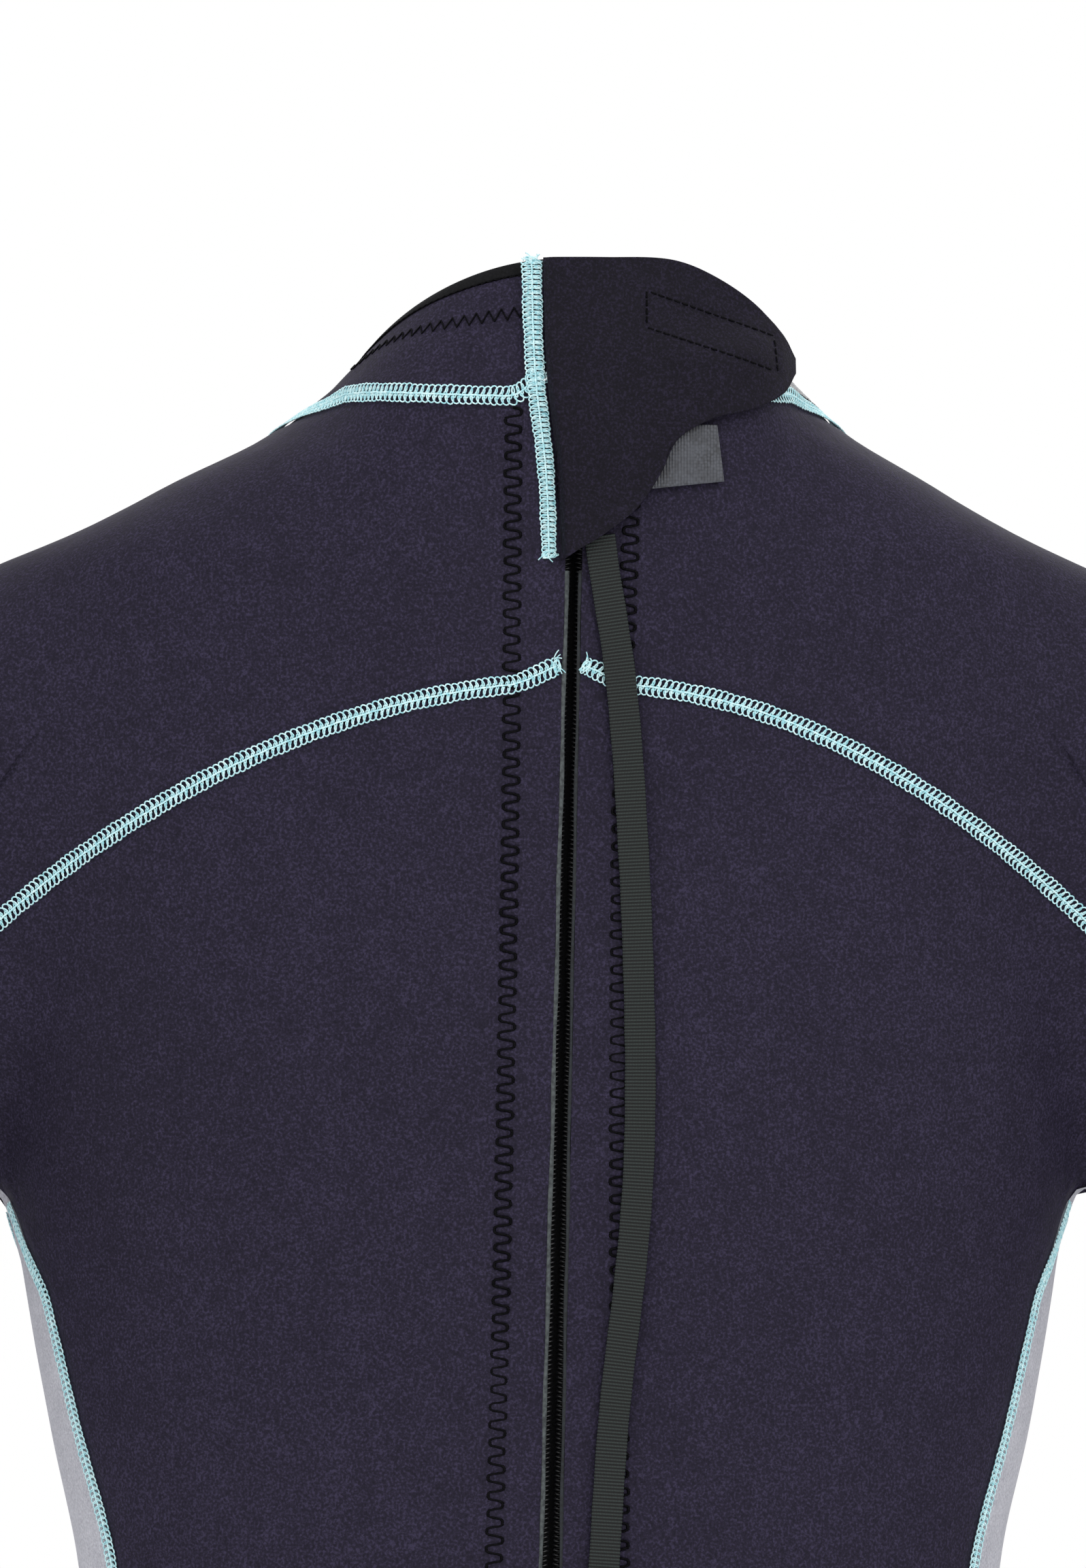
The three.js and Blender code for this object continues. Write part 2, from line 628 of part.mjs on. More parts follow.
// Legs: back, front and the grey strip down the outside.
const ankleTurn = (list, from, to) =>
  list.map((_, j) => roundLeg.point([mix(from, to, j / (list.length - 1)), ANKLE]));
const turnAt = (line) => roundLeg.read(line[LEG_COUNT])[0];
const legBackBottom = ankleTurn(hipBack, -Math.PI, turnAt(legOuterBack));
const legFrontBottom = ankleTurn(hipFront, turnAt(legOuterFront), Math.PI);
const legSideBottom = ankleTurn(hipSide, turnAt(legOuterBack), turnAt(legOuterFront));
const legBack = fill(roundLeg, hipBack, legBackBottom, legInnerBack, legOuterBack);
const legFront = fill(roundLeg, hipFront, legFrontBottom, legOuterFront, legInnerFront);
const legSide = fill(roundLeg, hipSide, legSideBottom, legOuterBack, legOuterFront);
both('leg_back', legBack, NAVY);
both('leg_front', legFront, NAVY);
both('leg_side', legSide, GREY);

// ---- Seals at the wrists and ankles, knee pads ---------------------------------------------------------

const RING_SIDES = 14;
const SEAL_THICK = 2;
const SEAL_STEP = 0.5; // how far the seal's face lies below the sleeve's
const SEAL_GAP = 0.1;
const sealBand = (walk, from, to) =>
  [from, to].map((at) =>
    Array.from({ length: RING_SIDES }, (_, j) => walk.point([(2 * Math.PI * j) / RING_SIDES, at])),
  );
function addSeal(name, grid, sign) {
  const turned = sign < 0 ? mirrored(grid) : grid;
  const spokes = turned.map((row) => {
    const middle = row.reduce((sum, p) => sum.add(p), V(0, 0, 0)).divideScalar(row.length);
    return row.map((p) => p.clone().sub(middle).normalize());
  });
  const outer = offset(turned, spokes, -SEAL_STEP);
  const inner = offset(turned, spokes, -SEAL_STEP - SEAL_THICK);
  add(name, wall(outer, inner, true), BLACK);
}
const wristRing = sealBand(roundArm, WRIST + SEAL_GAP, WRIST + SEAL);
const ankleRing = sealBand(roundLeg, ANKLE - SEAL_GAP, ANKLE - SEAL);
for (const [side, sign] of [['right', 1], ['left', -1]]) {
  addSeal(`wrist_seal_${side}`, wristRing, sign);
  addSeal(`ankle_seal_${side}`, ankleRing, sign);
}
const KNEE_ROWS = legHeights.map((z, i) => (Math.abs(z - KNEE) < 100 ? i : -1)).filter((i) => i >= 0);
const kneePad = KNEE_ROWS.map((i) => legFront[i].slice(2, -3));
both('knee_pad', kneePad, BLACK, KNEE_PAD, KNEE_PAD + SEAM_GAP);

// ---- Collar -----------------------------------------------------------------------------------------------

const frontTurns = steps(FRONT_COUNT).map((t) => mix(neckRaglan, Math.PI, t));
const rightTurns = [...NECK_TURNS, ...frontTurns.slice(1)];
const rightNeck = [...neckBack, ...neckFront.slice(1)];
const loopTurns = [...rightTurns, ...rightTurns.slice(0, -1).reverse().map((t) => 2 * Math.PI - t)];
const neckLoop = [...rightNeck, ...rightNeck.slice(0, -1).reverse().map((p) => V(-p.x, p.y, p.z))];
const collarHeight = (c) => 2 + 31.5 * c + 11.5 * c * c;

function collarTop(turn) {
  const c = Math.cos(turn);
  const side = Math.sin(turn);
  const open = 1 - ramp(0, 0.6, Math.abs(side));
  const edge = (turn < Math.PI ? 1 : -1) * SLIT + 2;
  return V(
    COLLAR_CENTRE.x + COLLAR_HALF * side + open * edge * (c > 0 ? 1 : 0),
    COLLAR_CENTRE.y - (c > 0 ? COLLAR_BACK : COLLAR_FRONT) * c,
    collarHeight(c),
  );
}
const LOOP_LOW = 0.16; // share of the collar's height where the loop patch starts and ends
const LOOP_HIGH = 0.76;
const bandFoot = neckLoop.map(leaned);
const bandTop = loopTurns.map(collarTop);
const hemAt = (j) => 1 - HEM / bandFoot[j].distanceTo(bandTop[j]);
const onBand = (shares) => shares.map((share) => bandFoot.map((p, j) => lerp(p, bandTop[j], share(j))));

function gridNormals(grid) {
  const rows = grid.length - 1;
  const columns = grid[0].length - 1;
  return grid.map((row, i) =>
    row.map((_, j) => {
      const across = row[Math.min(j + 1, columns)].clone().sub(row[Math.max(j - 1, 0)]);
      const up = grid[Math.min(i + 1, rows)][j].clone().sub(grid[Math.max(i - 1, 0)][j]);
      return across.cross(up).normalize();
    }),
  );
}
const sheetPanel = (grid, normals, low, high) =>
  wall(trimmed(offset(grid, normals, high)), trimmed(offset(grid, normals, low)));
const band = onBand([() => 0, () => LOOP_LOW, () => LOOP_HIGH, hemAt]);
const hem = onBand([hemAt, () => 1]);
const bandNormals = gridNormals(band);
const bandFoldNormals = [neckLoop.map(bodyNormal), ...bandNormals.slice(1)];
add('collar_band', sheetPanel(band, bandFoldNormals, -COLLAR_THICK, 0), NAVY);
add('collar_hem', sheetPanel(hem, [bandNormals[3], bandNormals[3]], -COLLAR_THICK, 0), NAVY);
const overLoop = (grid) => [grid[1], grid[2]].map((row) => row.slice(1, 7));
const PATCH = 1;
add('loop_patch', sheetPanel(overLoop(band), overLoop(bandNormals), 0.3, 0.3 + PATCH), HOOK);

// The surface that the flap and the threads lie over: the body with the collar standing on it.
function cover(x, y, z) {
  const turn = Math.atan2((x - 8) / 80, -(y + 2) / 76);
  const c = Math.cos(turn);
  const foot = c > 0 ? 9 * c - 9 : 39 * c - 9;
  const h = clamp((z - foot) / (collarHeight(c) - foot), 0, 1);
  const half = mix(NECK_HALF + 4, COLLAR_HALF, h);
  const middle = mix(NECK_CENTRE, COLLAR_CENTRE.y, h);
  const deep = y < middle ? mix(NECK_BACK, COLLAR_BACK, h) : mix(NECK_FRONT + 4, COLLAR_FRONT, h);
  const sideways = x - mix(8.5, COLLAR_CENTRE.x, h);
  const far = Math.hypot(sideways, y - middle);
  const collar = far - far / Math.hypot(sideways / half, (y - middle) / deep);
  return softMin(body(x - leanBy(x, z), y, z), collar, 6);
}

// Outline of the flap as it lies closed: its lower and its upper edge, from the seam to the tip.
const FLAP_LOW = [[5, -54], [11, -50], [18.4, -45.6], [29.6, -36.7], [37.3, -25.6], [43, -14.4], [54, -7.8]]
  .concat([[67.3, -4.4], [78, 1], [82.5, 8]]);
const FLAP_HIGH = [[-0.4, 45], [20, 45], [40, 44.6], [52, 41], [67, 32], [78, 21], [82.5, 13]];
const FLAP_SEAM = [[45, -0.4], [8, 0.5], [-25, 4], [-54, 5]];
const FLAP_SHARES = [0, 0.027, 0.07, 0.13, 0.2, 0.28, 0.36, 0.45, 0.54, 0.63, 0.72, 0.81, 0.91, 1];
const FLAP_ROWS = 7;
const ROOM_OVER_SLIDER = 1.4;
function flapLift(x, z) {
  const fromSeam = x - along(FLAP_SEAM, z);
  const risen = ramp(0, 2.2, fromSeam);
  const overZip = Math.exp(-(((x - leanBy(0, z) - 3) / 15) ** 2)) * (1 - ramp(-8, 8, z));
  return mix(0.4, FLAP_LIFT, risen) + ROOM_OVER_SLIDER * overZip * risen + 6 * ramp(48, 84, x);
}
const coverPoint = (x, z, level) => fromBehind(x, z, cover, level);
const flapPlaces = steps(FLAP_ROWS).map((v) =>
  FLAP_SHARES.map((t) => {
    const [low, high] = [polyline(FLAP_LOW, t), polyline(FLAP_HIGH, t)];
    const place = [mix(low[0], high[0], v), mix(low[1], high[1], v)];
    if (t === 0) place[0] = along(FLAP_SEAM, place[1]);
    return place;
  }),
);
const flapGroup = new THREE.Group();
suit.add(flapGroup);
const layer = (places, low, high) => {
  const [inner, outer] = [low, high].map((level) =>
    places.map((row) => row.map(([x, z]) => coverPoint(x, z, level(x, z)))),
  );
  return wall(outer, inner);
};
add('collar_flap', layer(flapPlaces, flapLift, (x, z) => flapLift(x, z) + FLAP_THICK), NAVY, flapGroup);

const corners = (a, b, c, d, rows, columns) =>
  steps(rows).map((v) =>
    steps(columns).map((t) => [0, 1].map((k) => mix(mix(a[k], b[k], t), mix(d[k], c[k], t), v))),
  );
const hookPlaces = corners([33, 22], [76, 8], [75, 20], [33, 34], 2, 6);
const patchTop = (x, z) => flapLift(x, z) - 0.8;
add('hook_patch', layer(hookPlaces, (x, z) => patchTop(x, z) - PATCH, patchTop), HOOK, flapGroup);
const tabPlaces = corners([34.5, -30.4], [58, -28], [55.8, -9.6], [38, -9.2], 3, 3);
add('keeper_tab', layer(tabPlaces, () => FLAP_LIFT - 1.5, () => FLAP_LIFT - 0.4), HOOK, flapGroup);

// ---- Flatlock seams: a strip of thread over each joint of two panels --------------------------------------

const THREAD_LIFT = 0.95;
const reach = (p, q, by) => p.clone().addScaledVector(q.clone().sub(p).normalize(), by);
function threadStrip(line, aside, bside, normals, ends = [5, 5]) {
  const rows = [line, aside, bside, normals].map((list) => list.slice());
  const last = line.length - 1;
  const cut = (list, i, j, by) => lerp(list[i], list[j], by / line[i].distanceTo(line[j]));
  for (const k of [0, 1, 2]) {
    const list = [line, aside, bside][k];
    rows[k][0] = cut(list, 0, 1, ends[0]);
    rows[k][last] = cut(list, last, last - 1, ends[1]);
  }
  const [p, a, b, n] = rows;
  const half = SEAM_WIDTH / 2;
  const grid = [p.map((q, i) => reach(q, a[i], half)), p, p.map((q, i) => reach(q, b[i], half))];
  const lifted = (by) => grid.map((row) => row.map((q, i) => q.clone().addScaledVector(n[i], by)));
  return wall(lifted(THREAD_LIFT + THREAD), lifted(THREAD_LIFT));
}
function bothSeams(name, line, aside, bside, ends) {
  for (const [side, sign] of [['right', 1], ['left', -1]]) {
    const turned = [line, aside, bside].map((list) => list.map((p) => V(p.x * sign, p.y, p.z)));
    const normals = turned[0].map(bodyNormal);
    const [p, a, b] = turned.map((list) => list.map(leaned));
    add(`${name}_${side}`, threadStrip(p, a, b, normals, ends), CYAN);
  }
}
const column = (grid, j) => grid.map((row) => row[j < 0 ? row.length + j : j]);
const alongArch = (row) => row.slice(0, archSeam.length);
bothSeams('arch_seam', archSeam, alongArch(shoulderPanel[SHOULDER_ROWS - 1]), alongArch(backPanel[1]));
bothSeams('side_back_seam', sideBack, column(backPanel, -2), column(sidePanel, 1));
bothSeams('side_front_seam', sideFront, column(sidePanel, -2), column(frontHalf, 1), [18, 6]);
const besideRaglan = frontHalf[1].slice(2, 9).reverse();
bothSeams('raglan_seam', raglanDown, column(shoulderPanel, -2), besideRaglan, [6, 9]);
bothSeams('leg_back_seam', legOuterBack, column(legBack, -2), column(legSide, 1));

const neckBelow = [...shoulderPanel[1], ...frontHalf[1].slice(-FRONT_COUNT)];
const belowLeft = neckBelow.slice(0, -1).reverse().map((p) => V(-p.x, p.y, p.z));
const belowLoop = [...neckBelow, ...belowLeft].map(leaned);
const neckNormals = neckLoop.map((p, i) => bodyNormal(p).add(bandNormals[0][i]).normalize());
const inner = (list) => list.slice(1, -1);
const neckStrip = [bandFoot, belowLoop, bandTop, neckNormals].map(inner);
add('neck_seam', threadStrip(...neckStrip, [1, 1]), CYAN);

const flapSeamPlaces = steps(12).map((t) => {
  const z = mix(-52, 43, t);
  return [6.6, 1.2].map((from) => [along(FLAP_SEAM, z) - from, z]);
});
add('flap_seam', layer(flapSeamPlaces, () => 0.35, () => 0.6), CYAN);

// ---- Zip ----------------------------------------------------------------------------------------

// Inside zipGroup the zip runs down -Z from its top, the foam's face is y = 0 and -Y points out of the back.
const zipGroup = new THREE.Group();
suit.add(zipGroup);
const down = V(-LEAN, -ZIP_SLOPE, -1).normalize();
const across = V(0, -1, ZIP_SLOPE).cross(down).normalize();
const into = across.clone().cross(down);
zipGroup.position.set(leanBy(0, ZIP_TOP), zipDepth(ZIP_TOP), ZIP_TOP);
zipGroup.quaternion.setFromRotationMatrix(
  new THREE.Matrix4().makeBasis(across, into, down.clone().negate()),
);
const ZIP_LENGTH = (ZIP_TOP - ZIP_BOTTOM) / Math.abs(down.z);

function bar(outline, top, bottom) {
  const shape = new THREE.Shape(outline.map(([x, y]) => new THREE.Vector2(x, y)));
  const geometry = new THREE.ExtrudeGeometry(shape, { depth: top - bottom, bevelEnabled: false });
  return geometry.translate(0, 0, bottom);
}
const block = (x0, x1, y0, y1, z0, z1) =>
  new THREE.BoxGeometry(x1 - x0, y1 - y0, z1 - z0).translate((x0 + x1) / 2, (y0 + y1) / 2, (z0 + z1) / 2);

function solidOf(geometry) {
  const g = geometry.clone();
  g.deleteAttribute('normal');
  g.deleteAttribute('uv');
  const merged = mergeVertices(g, 1e-4);
  return new wasm.Manifold(
    new wasm.Mesh({
      numProp: 3,
      vertProperties: new Float32Array(merged.attributes.position.array),
      triVerts: new Uint32Array(merged.index.array),
    }),
  );
}
function geometryOf(solid) {
  const mesh = solid.getMesh();
  const g = new THREE.BufferGeometry();
  g.setAttribute('position', new THREE.Float32BufferAttribute(mesh.vertProperties, 3));
  g.setIndex(Array.from(mesh.triVerts));
  return g;
}
const joined = (...pieces) => geometryOf(pieces.map(solidOf).reduce((a, b) => a.add(b)));
const cutFrom = (whole, hole) => geometryOf(solidOf(whole).subtract(solidOf(hole)));

// Depths below the face of the foam.
const TAPE_DEEP = FOAM + CLEAR;
const COIL_DEEP = TAPE_DEEP + 1.4;
const COIL_FOOT = COIL_DEEP + COIL_THICK;
const TAPE_INNER = COIL_HALF + CLEAR;
const PLATE = 1;
const SLIDER_HALF = COIL_HALF + 1.4;
const tapeOutline = (sign) =>
  [
    [TAPE_HALF, TAPE_DEEP],
    [TAPE_HALF, TAPE_DEEP + TAPE_THICK],
    [9.8, TAPE_DEEP + TAPE_THICK],
    [7.6, COIL_DEEP + TAPE_THICK],
    [TAPE_INNER, COIL_DEEP + TAPE_THICK],
    [TAPE_INNER, COIL_DEEP],
    [7.9, COIL_DEEP],
    [10.1, TAPE_DEEP],
  ].map(([x, y]) => [sign * x, y]);
const coilOutline = (sign) => {
  const [x0, x1, y0, y1, c] = [0.7, COIL_HALF, COIL_DEEP, COIL_FOOT, 0.6];
  const outline = [[x0 + c, y0], [x1 - c, y0], [x1, y0 + c], [x1, y1 - c]];
  outline.push([x1 - c, y1], [x0 + c, y1], [x0, y1 - c], [x0, y0 + c]);
  return outline.map(([x, y]) => [sign * x, y]);
};
const STOP = 6;
for (const [side, sign] of [['right', 1], ['left', -1]]) {
  add(`zip_tape_${side}`, bar(tapeOutline(sign), -2, -ZIP_LENGTH), BLACK, zipGroup);
  add(`zip_coil_${side}`, bar(coilOutline(sign), -8, -ZIP_LENGTH + STOP + CLEAR), BLACK, zipGroup);
}
add(
  'zip_bottom_stop',
  block(-COIL_HALF, COIL_HALF, COIL_DEEP - 0.6, COIL_FOOT + 0.6, -ZIP_LENGTH + 0.5, -ZIP_LENGTH + STOP),
  METAL,
  zipGroup,
);

const GUARD_DEEP = COIL_FOOT + CLEAR + PLATE + 1.2;
const GUARD_THICK = 1.2;
const guardSeat = TAPE_DEEP + TAPE_THICK + CLEAR;
const guardOutline = [
  [-TAPE_HALF, guardSeat],
  [-18, guardSeat],
  [-12, GUARD_DEEP],
  [TAPE_HALF + 6, GUARD_DEEP],
  [TAPE_HALF + 6, GUARD_DEEP + GUARD_THICK],
  [-12.5, GUARD_DEEP + GUARD_THICK],
  [-18.5, guardSeat + GUARD_THICK],
  [-TAPE_HALF, guardSeat + GUARD_THICK],
];
add('zip_guard', bar(guardOutline, -4, -ZIP_LENGTH), NAVY, zipGroup);

// Slider: two plates over and under the coil, joined through its middle, with a neck through the slit
// and a headed pin outside that the pull tab swings on.
const sliderZ = (ZIP_TOP - SLIDER_AT) / down.z;
const H = SLIDER_LENGTH / 2;
const PIN = 1.5;
const HEAD = 2.8;
const EYE = 1.9; // hole of the pull tab
const TAB_OUT = -2.4; // outer face of the pull tab
const NECK_X = SLIT - 0.7;
const CHEEK = 0.7;
const cheekTop = COIL_DEEP + TAPE_THICK + CLEAR;
const bottomPlate = COIL_FOOT + CLEAR;
const sliderGroup = new THREE.Group();
sliderGroup.position.z = sliderZ;
zipGroup.add(sliderGroup);
const disc = (radius, y0, y1) =>
  new THREE.CylinderGeometry(radius, radius, y1 - y0, 16).translate(0, (y0 + y1) / 2, 0);
add(
  'zip_slider',
  joined(
    block(-COIL_HALF, COIL_HALF, TAPE_DEEP, TAPE_DEEP + PLATE, -H, H),
    block(-CLEAR, CLEAR, TAPE_DEEP + 0.5, bottomPlate + 0.5, -H, H),
    block(-SLIDER_HALF, SLIDER_HALF, bottomPlate, bottomPlate + PLATE, -H, H),
    block(-SLIDER_HALF, CHEEK - SLIDER_HALF, cheekTop, bottomPlate + 0.5, -H, H),
    block(SLIDER_HALF - CHEEK, SLIDER_HALF, cheekTop, bottomPlate + 0.5, -H, H),
    block(-NECK_X, NECK_X, -0.6, TAPE_DEEP + 0.5, -H + 1, H - 1),
    block(-3.4, 3.4, -1, -CLEAR, -H + 0.5, H - 0.5),
    disc(PIN, TAB_OUT - 0.5, -0.7),
    disc(HEAD, TAB_OUT - 1.1, TAB_OUT - CLEAR),
  ),
  METAL,
  sliderGroup,
);

// Pull tab: an eye round the slider's pin, widening to a slot that the leash is sewn through.
const pullGroup = new THREE.Group();
pullGroup.rotation.y = -rad(TAB_LEAN);
sliderGroup.add(pullGroup);
const TAB_HALF = 6.2;
const EYE_HALF = 3.4;
const tabRight = [[2, 2.8], [EYE_HALF, 1.2], [EYE_HALF, -6], [TAB_HALF, -11], [TAB_HALF, -TAB_LENGTH]];
const tabLeft = tabRight.map(([x, z]) => [-x, z]).reverse();
const tabOutline = new THREE.Shape([...tabRight, ...tabLeft].map(([x, z]) => new THREE.Vector2(x, z)));
const tabPlate = new THREE.ExtrudeGeometry(tabOutline, { depth: TAB_THICK, bevelEnabled: false })
  .rotateX(Math.PI / 2)
  .translate(0, TAB_OUT + TAB_THICK, 0);
const tabSlot = block(-5, 5, TAB_OUT - 1, TAB_OUT + TAB_THICK + 1, -TAB_LENGTH + 2, -TAB_LENGTH + 5);
const tabEye = disc(EYE, TAB_OUT - 1, TAB_OUT + TAB_THICK + 1);
add('zip_pull_tab', cutFrom(cutFrom(tabPlate, tabEye), tabSlot), METAL, pullGroup);

// ---- Leash: flat webbing from the pull tab down the back ---------------------------------------

// Places of its middle line beside the zip and below the zip's top, from the tab to the free end.
const LEASH_ROUTE = [
  [8.1, -45.6], [9.7, -56], [12.3, -70], [15.4, -88], [18.4, -113], [20.6, -138], [22.9, -170], [24.6, -203],
  [25.3, -226], [25.3, -250], [24.3, -272], [22.4, -295], [20.2, -317], [18.6, -340], [16.9, -382],
  [15, -420], [13.6, -465], [13.2, -520], [13.8, -580], [15, -640], [15.6, -696],
];
const LEASH_OUT = TAB_OUT + TAB_THICK / 2 - 0.5; // clears the arch seam's threads
const SEAT_ROOM = 3.2; // and stands out further where it hangs over the seat
const leashOut = (z) => LEASH_OUT - SEAT_ROOM * ramp(500, 640, -z);
const leashGroup = new THREE.Group();
zipGroup.add(leashGroup);
const leashCurve = new THREE.CatmullRomCurve3(LEASH_ROUTE.map(([x, z]) => V(x, leashOut(z), z)));
const EDGE = 0.3;
const [LW, LT] = [LEASH_WIDTH / 2, LEASH_THICK / 2];
const leashSection = new THREE.Shape(
  [[LT, LW - EDGE], [LT, EDGE - LW], [LT - EDGE, -LW], [EDGE - LT, -LW], [-LT, EDGE - LW], [-LT, LW - EDGE]]
    .concat([[EDGE - LT, LW], [LT - EDGE, LW]])
    .map(([x, y]) => new THREE.Vector2(x, y)),
);
const LEASH_STEPS = 40;
const alongLeash = { steps: LEASH_STEPS, extrudePath: leashCurve, bevelEnabled: false };
add('zip_leash', new THREE.ExtrudeGeometry(leashSection, alongLeash), WEB, leashGroup);
const leashTip = LEASH_ROUTE[LEASH_ROUTE.length - 1];
const endBlock = block(-LW - 0.5, LW + 0.5, -1.6, 1.2, -26, -CLEAR);
endBlock.translate(leashTip[0], leashOut(leashTip[1]), leashTip[1]);
add('leash_end', endBlock, BLACK, leashGroup);

export default suit;
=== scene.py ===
"""Full-length back-zip wetsuit, worn upright, with its fabric, stitching, zip and leash. Lengths are in millimetres
until piece() turns a finished mesh to metres."""
import math

import bmesh
import bpy
import numpy as np
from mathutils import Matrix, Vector, kdtree


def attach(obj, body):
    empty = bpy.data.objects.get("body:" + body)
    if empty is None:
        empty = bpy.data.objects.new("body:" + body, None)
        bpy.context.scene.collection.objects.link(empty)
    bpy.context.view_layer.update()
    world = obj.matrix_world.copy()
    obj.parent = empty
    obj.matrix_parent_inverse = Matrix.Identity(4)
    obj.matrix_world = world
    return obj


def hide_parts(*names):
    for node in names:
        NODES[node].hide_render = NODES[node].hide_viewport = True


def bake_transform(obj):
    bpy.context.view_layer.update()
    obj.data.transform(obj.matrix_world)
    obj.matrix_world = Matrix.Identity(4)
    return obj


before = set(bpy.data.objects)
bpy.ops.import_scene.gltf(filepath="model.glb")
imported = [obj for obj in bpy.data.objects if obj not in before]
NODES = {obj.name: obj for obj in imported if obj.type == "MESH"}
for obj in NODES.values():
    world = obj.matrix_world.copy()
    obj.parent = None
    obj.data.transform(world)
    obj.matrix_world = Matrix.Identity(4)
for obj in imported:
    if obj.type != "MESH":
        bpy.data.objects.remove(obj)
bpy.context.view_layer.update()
MM = 0.001

# ---- Dimensions, as the solids have them --------------------------------------------------------------

FOAM = 3.0  # neoprene
CHEST_HALF, WAIST_HALF, HIP_HALF = 177, 149, 172
NECK_HALF, NECK_BACK, NECK_FRONT, NECK_CENTRE = 88, 86, 70, 2
COLLAR_HALF, COLLAR_BACK, COLLAR_FRONT, COLLAR_X, COLLAR_Y = 70, 68, 66, 7.5, -6
COLLAR_THICK = 2.5
ARM_LENGTH, ARM_TILT, WRIST_RADIUS = 530, math.radians(24), 30
HIP_SEAM, CROTCH, KNEE, ANKLE = -600, -700, -1010, -1400
ZIP_BOTTOM, ZIP_BACK, ZIP_LEVEL, ZIP_SLOPE = -560, -88, -50, 0.07255
LEAN, LEAN_ZERO = 0.0251, -422
SLIT, SLIT_GROWTH = 2.3, 0.0033
STITCH = 2.0  # length of one flatlock stitch
THREAD = 0.27  # radius of the sewing thread
RIB = 1.1  # spacing of the webbing's ribs
SERPENT = 5.7  # length of one wave of the serpentine stitch
NECK_RISE = 8  # how much the neck seam rises beside the zip
FLAP_LIFT, FLAP_THICK = 3.0, 2.5


def zip_depth(z):
    return ZIP_BACK + ZIP_SLOPE * (z - ZIP_LEVEL)


# Height, half width, back, front of the torso.
TORSO = np.array([
    (60, 70, -74, 60),
    (8, NECK_HALF - 10, zip_depth(8), 66),
    (-7, NECK_HALF + 2, zip_depth(-7), 68),
    (-30, NECK_HALF + 43, zip_depth(-30), 72),
    (-55, CHEST_HALF - 5, zip_depth(-55), 78),
    (-105, CHEST_HALF + 13, zip_depth(-105), 92),
    (-180, CHEST_HALF + 7, zip_depth(-180), 108),
    (-250, CHEST_HALF, zip_depth(-250), 112),
    (-306, CHEST_HALF - 0.31 * (CHEST_HALF - WAIST_HALF), zip_depth(-306), 108),
    (-340, CHEST_HALF - 0.54 * (CHEST_HALF - WAIST_HALF), zip_depth(-340), 104),
    (-382, CHEST_HALF - 0.86 * (CHEST_HALF - WAIST_HALF), zip_depth(-382), 98),
    (-430, WAIST_HALF, zip_depth(-430), 92),
    (-520, WAIST_HALF + 0.48 * (HIP_HALF - WAIST_HALF), zip_depth(-520), 90),
    (-620, HIP_HALF, zip_depth(-620), 92),
    (CROTCH, HIP_HALF + 2, -118, 88),
    (CROTCH - 100, HIP_HALF + 2, -110, 84),
], dtype=float)
ROUNDNESS = 2.3
ARM_ROOT = np.array([CHEST_HALF + 3, 0, -112.0])
ARM_WAY = np.array([math.sin(ARM_TILT), 0, -math.cos(ARM_TILT)])


def on_arm(share):
    return ARM_ROOT + ARM_WAY * share * ARM_LENGTH


ARM = [(on_arm(0), 53, on_arm(0.3), 47), (on_arm(0.3), 47, on_arm(0.54), 41),
       (on_arm(0.54), 41, on_arm(0.66), 43), (on_arm(0.66), 43, on_arm(1.1), WRIST_RADIUS - 2)]
LEG = [((92, -5, CROTCH), 80, (98, 0, KNEE), 57), ((98, 0, KNEE), 57, (100, -12, KNEE - 100), 58),
       ((100, -12, KNEE - 100), 58, (109, -2, ANKLE - 40), 37)]

# ---- The form that the suit is cut to, for whole arrays of points at once ------------------------------


def ramp(a, b, v):
    t = np.clip((v - a) / (b - a), 0, 1)
    return t * t * (3 - 2 * t)


def soft_min(a, b, k):
    h = np.maximum(k - np.abs(a - b), 0) / k
    return np.minimum(a, b) - h * h * k / 4


def along(rows, at, column=1):
    """Smooth curve through rows of (place, value, ...), read at many places."""
    rows = np.asarray(rows, dtype=float)
    if rows[-1, 0] < rows[0, 0]:
        rows = rows[::-1]
    x, y = rows[:, 0], rows[:, column]
    last = len(x) - 1
    lo, hi = np.maximum(np.arange(last + 1) - 1, 0), np.minimum(np.arange(last + 1) + 1, last)
    slope = (y[hi] - y[lo]) / (x[hi] - x[lo])
    at = np.clip(at, x[0], x[-1])
    i = np.clip(np.searchsorted(x, at) - 1, 0, last - 1)
    run = x[i + 1] - x[i]
    t = (at - x[i]) / run
    return (y[i] * (1 + 2 * t) * (1 - t) ** 2 + slope[i] * run * t * (1 - t) ** 2
            + y[i + 1] * t * t * (3 - 2 * t) + slope[i + 1] * run * t * t * (t - 1))


def limb(p, a, ra, b, rb):
    a, b = np.asarray(a, float), np.asarray(b, float)
    way = b - a
    t = np.clip(((p - a) @ way) / (way @ way), 0, 1)
    return np.linalg.norm(p - a - t[:, None] * way, axis=1) - (ra + (rb - ra) * t)


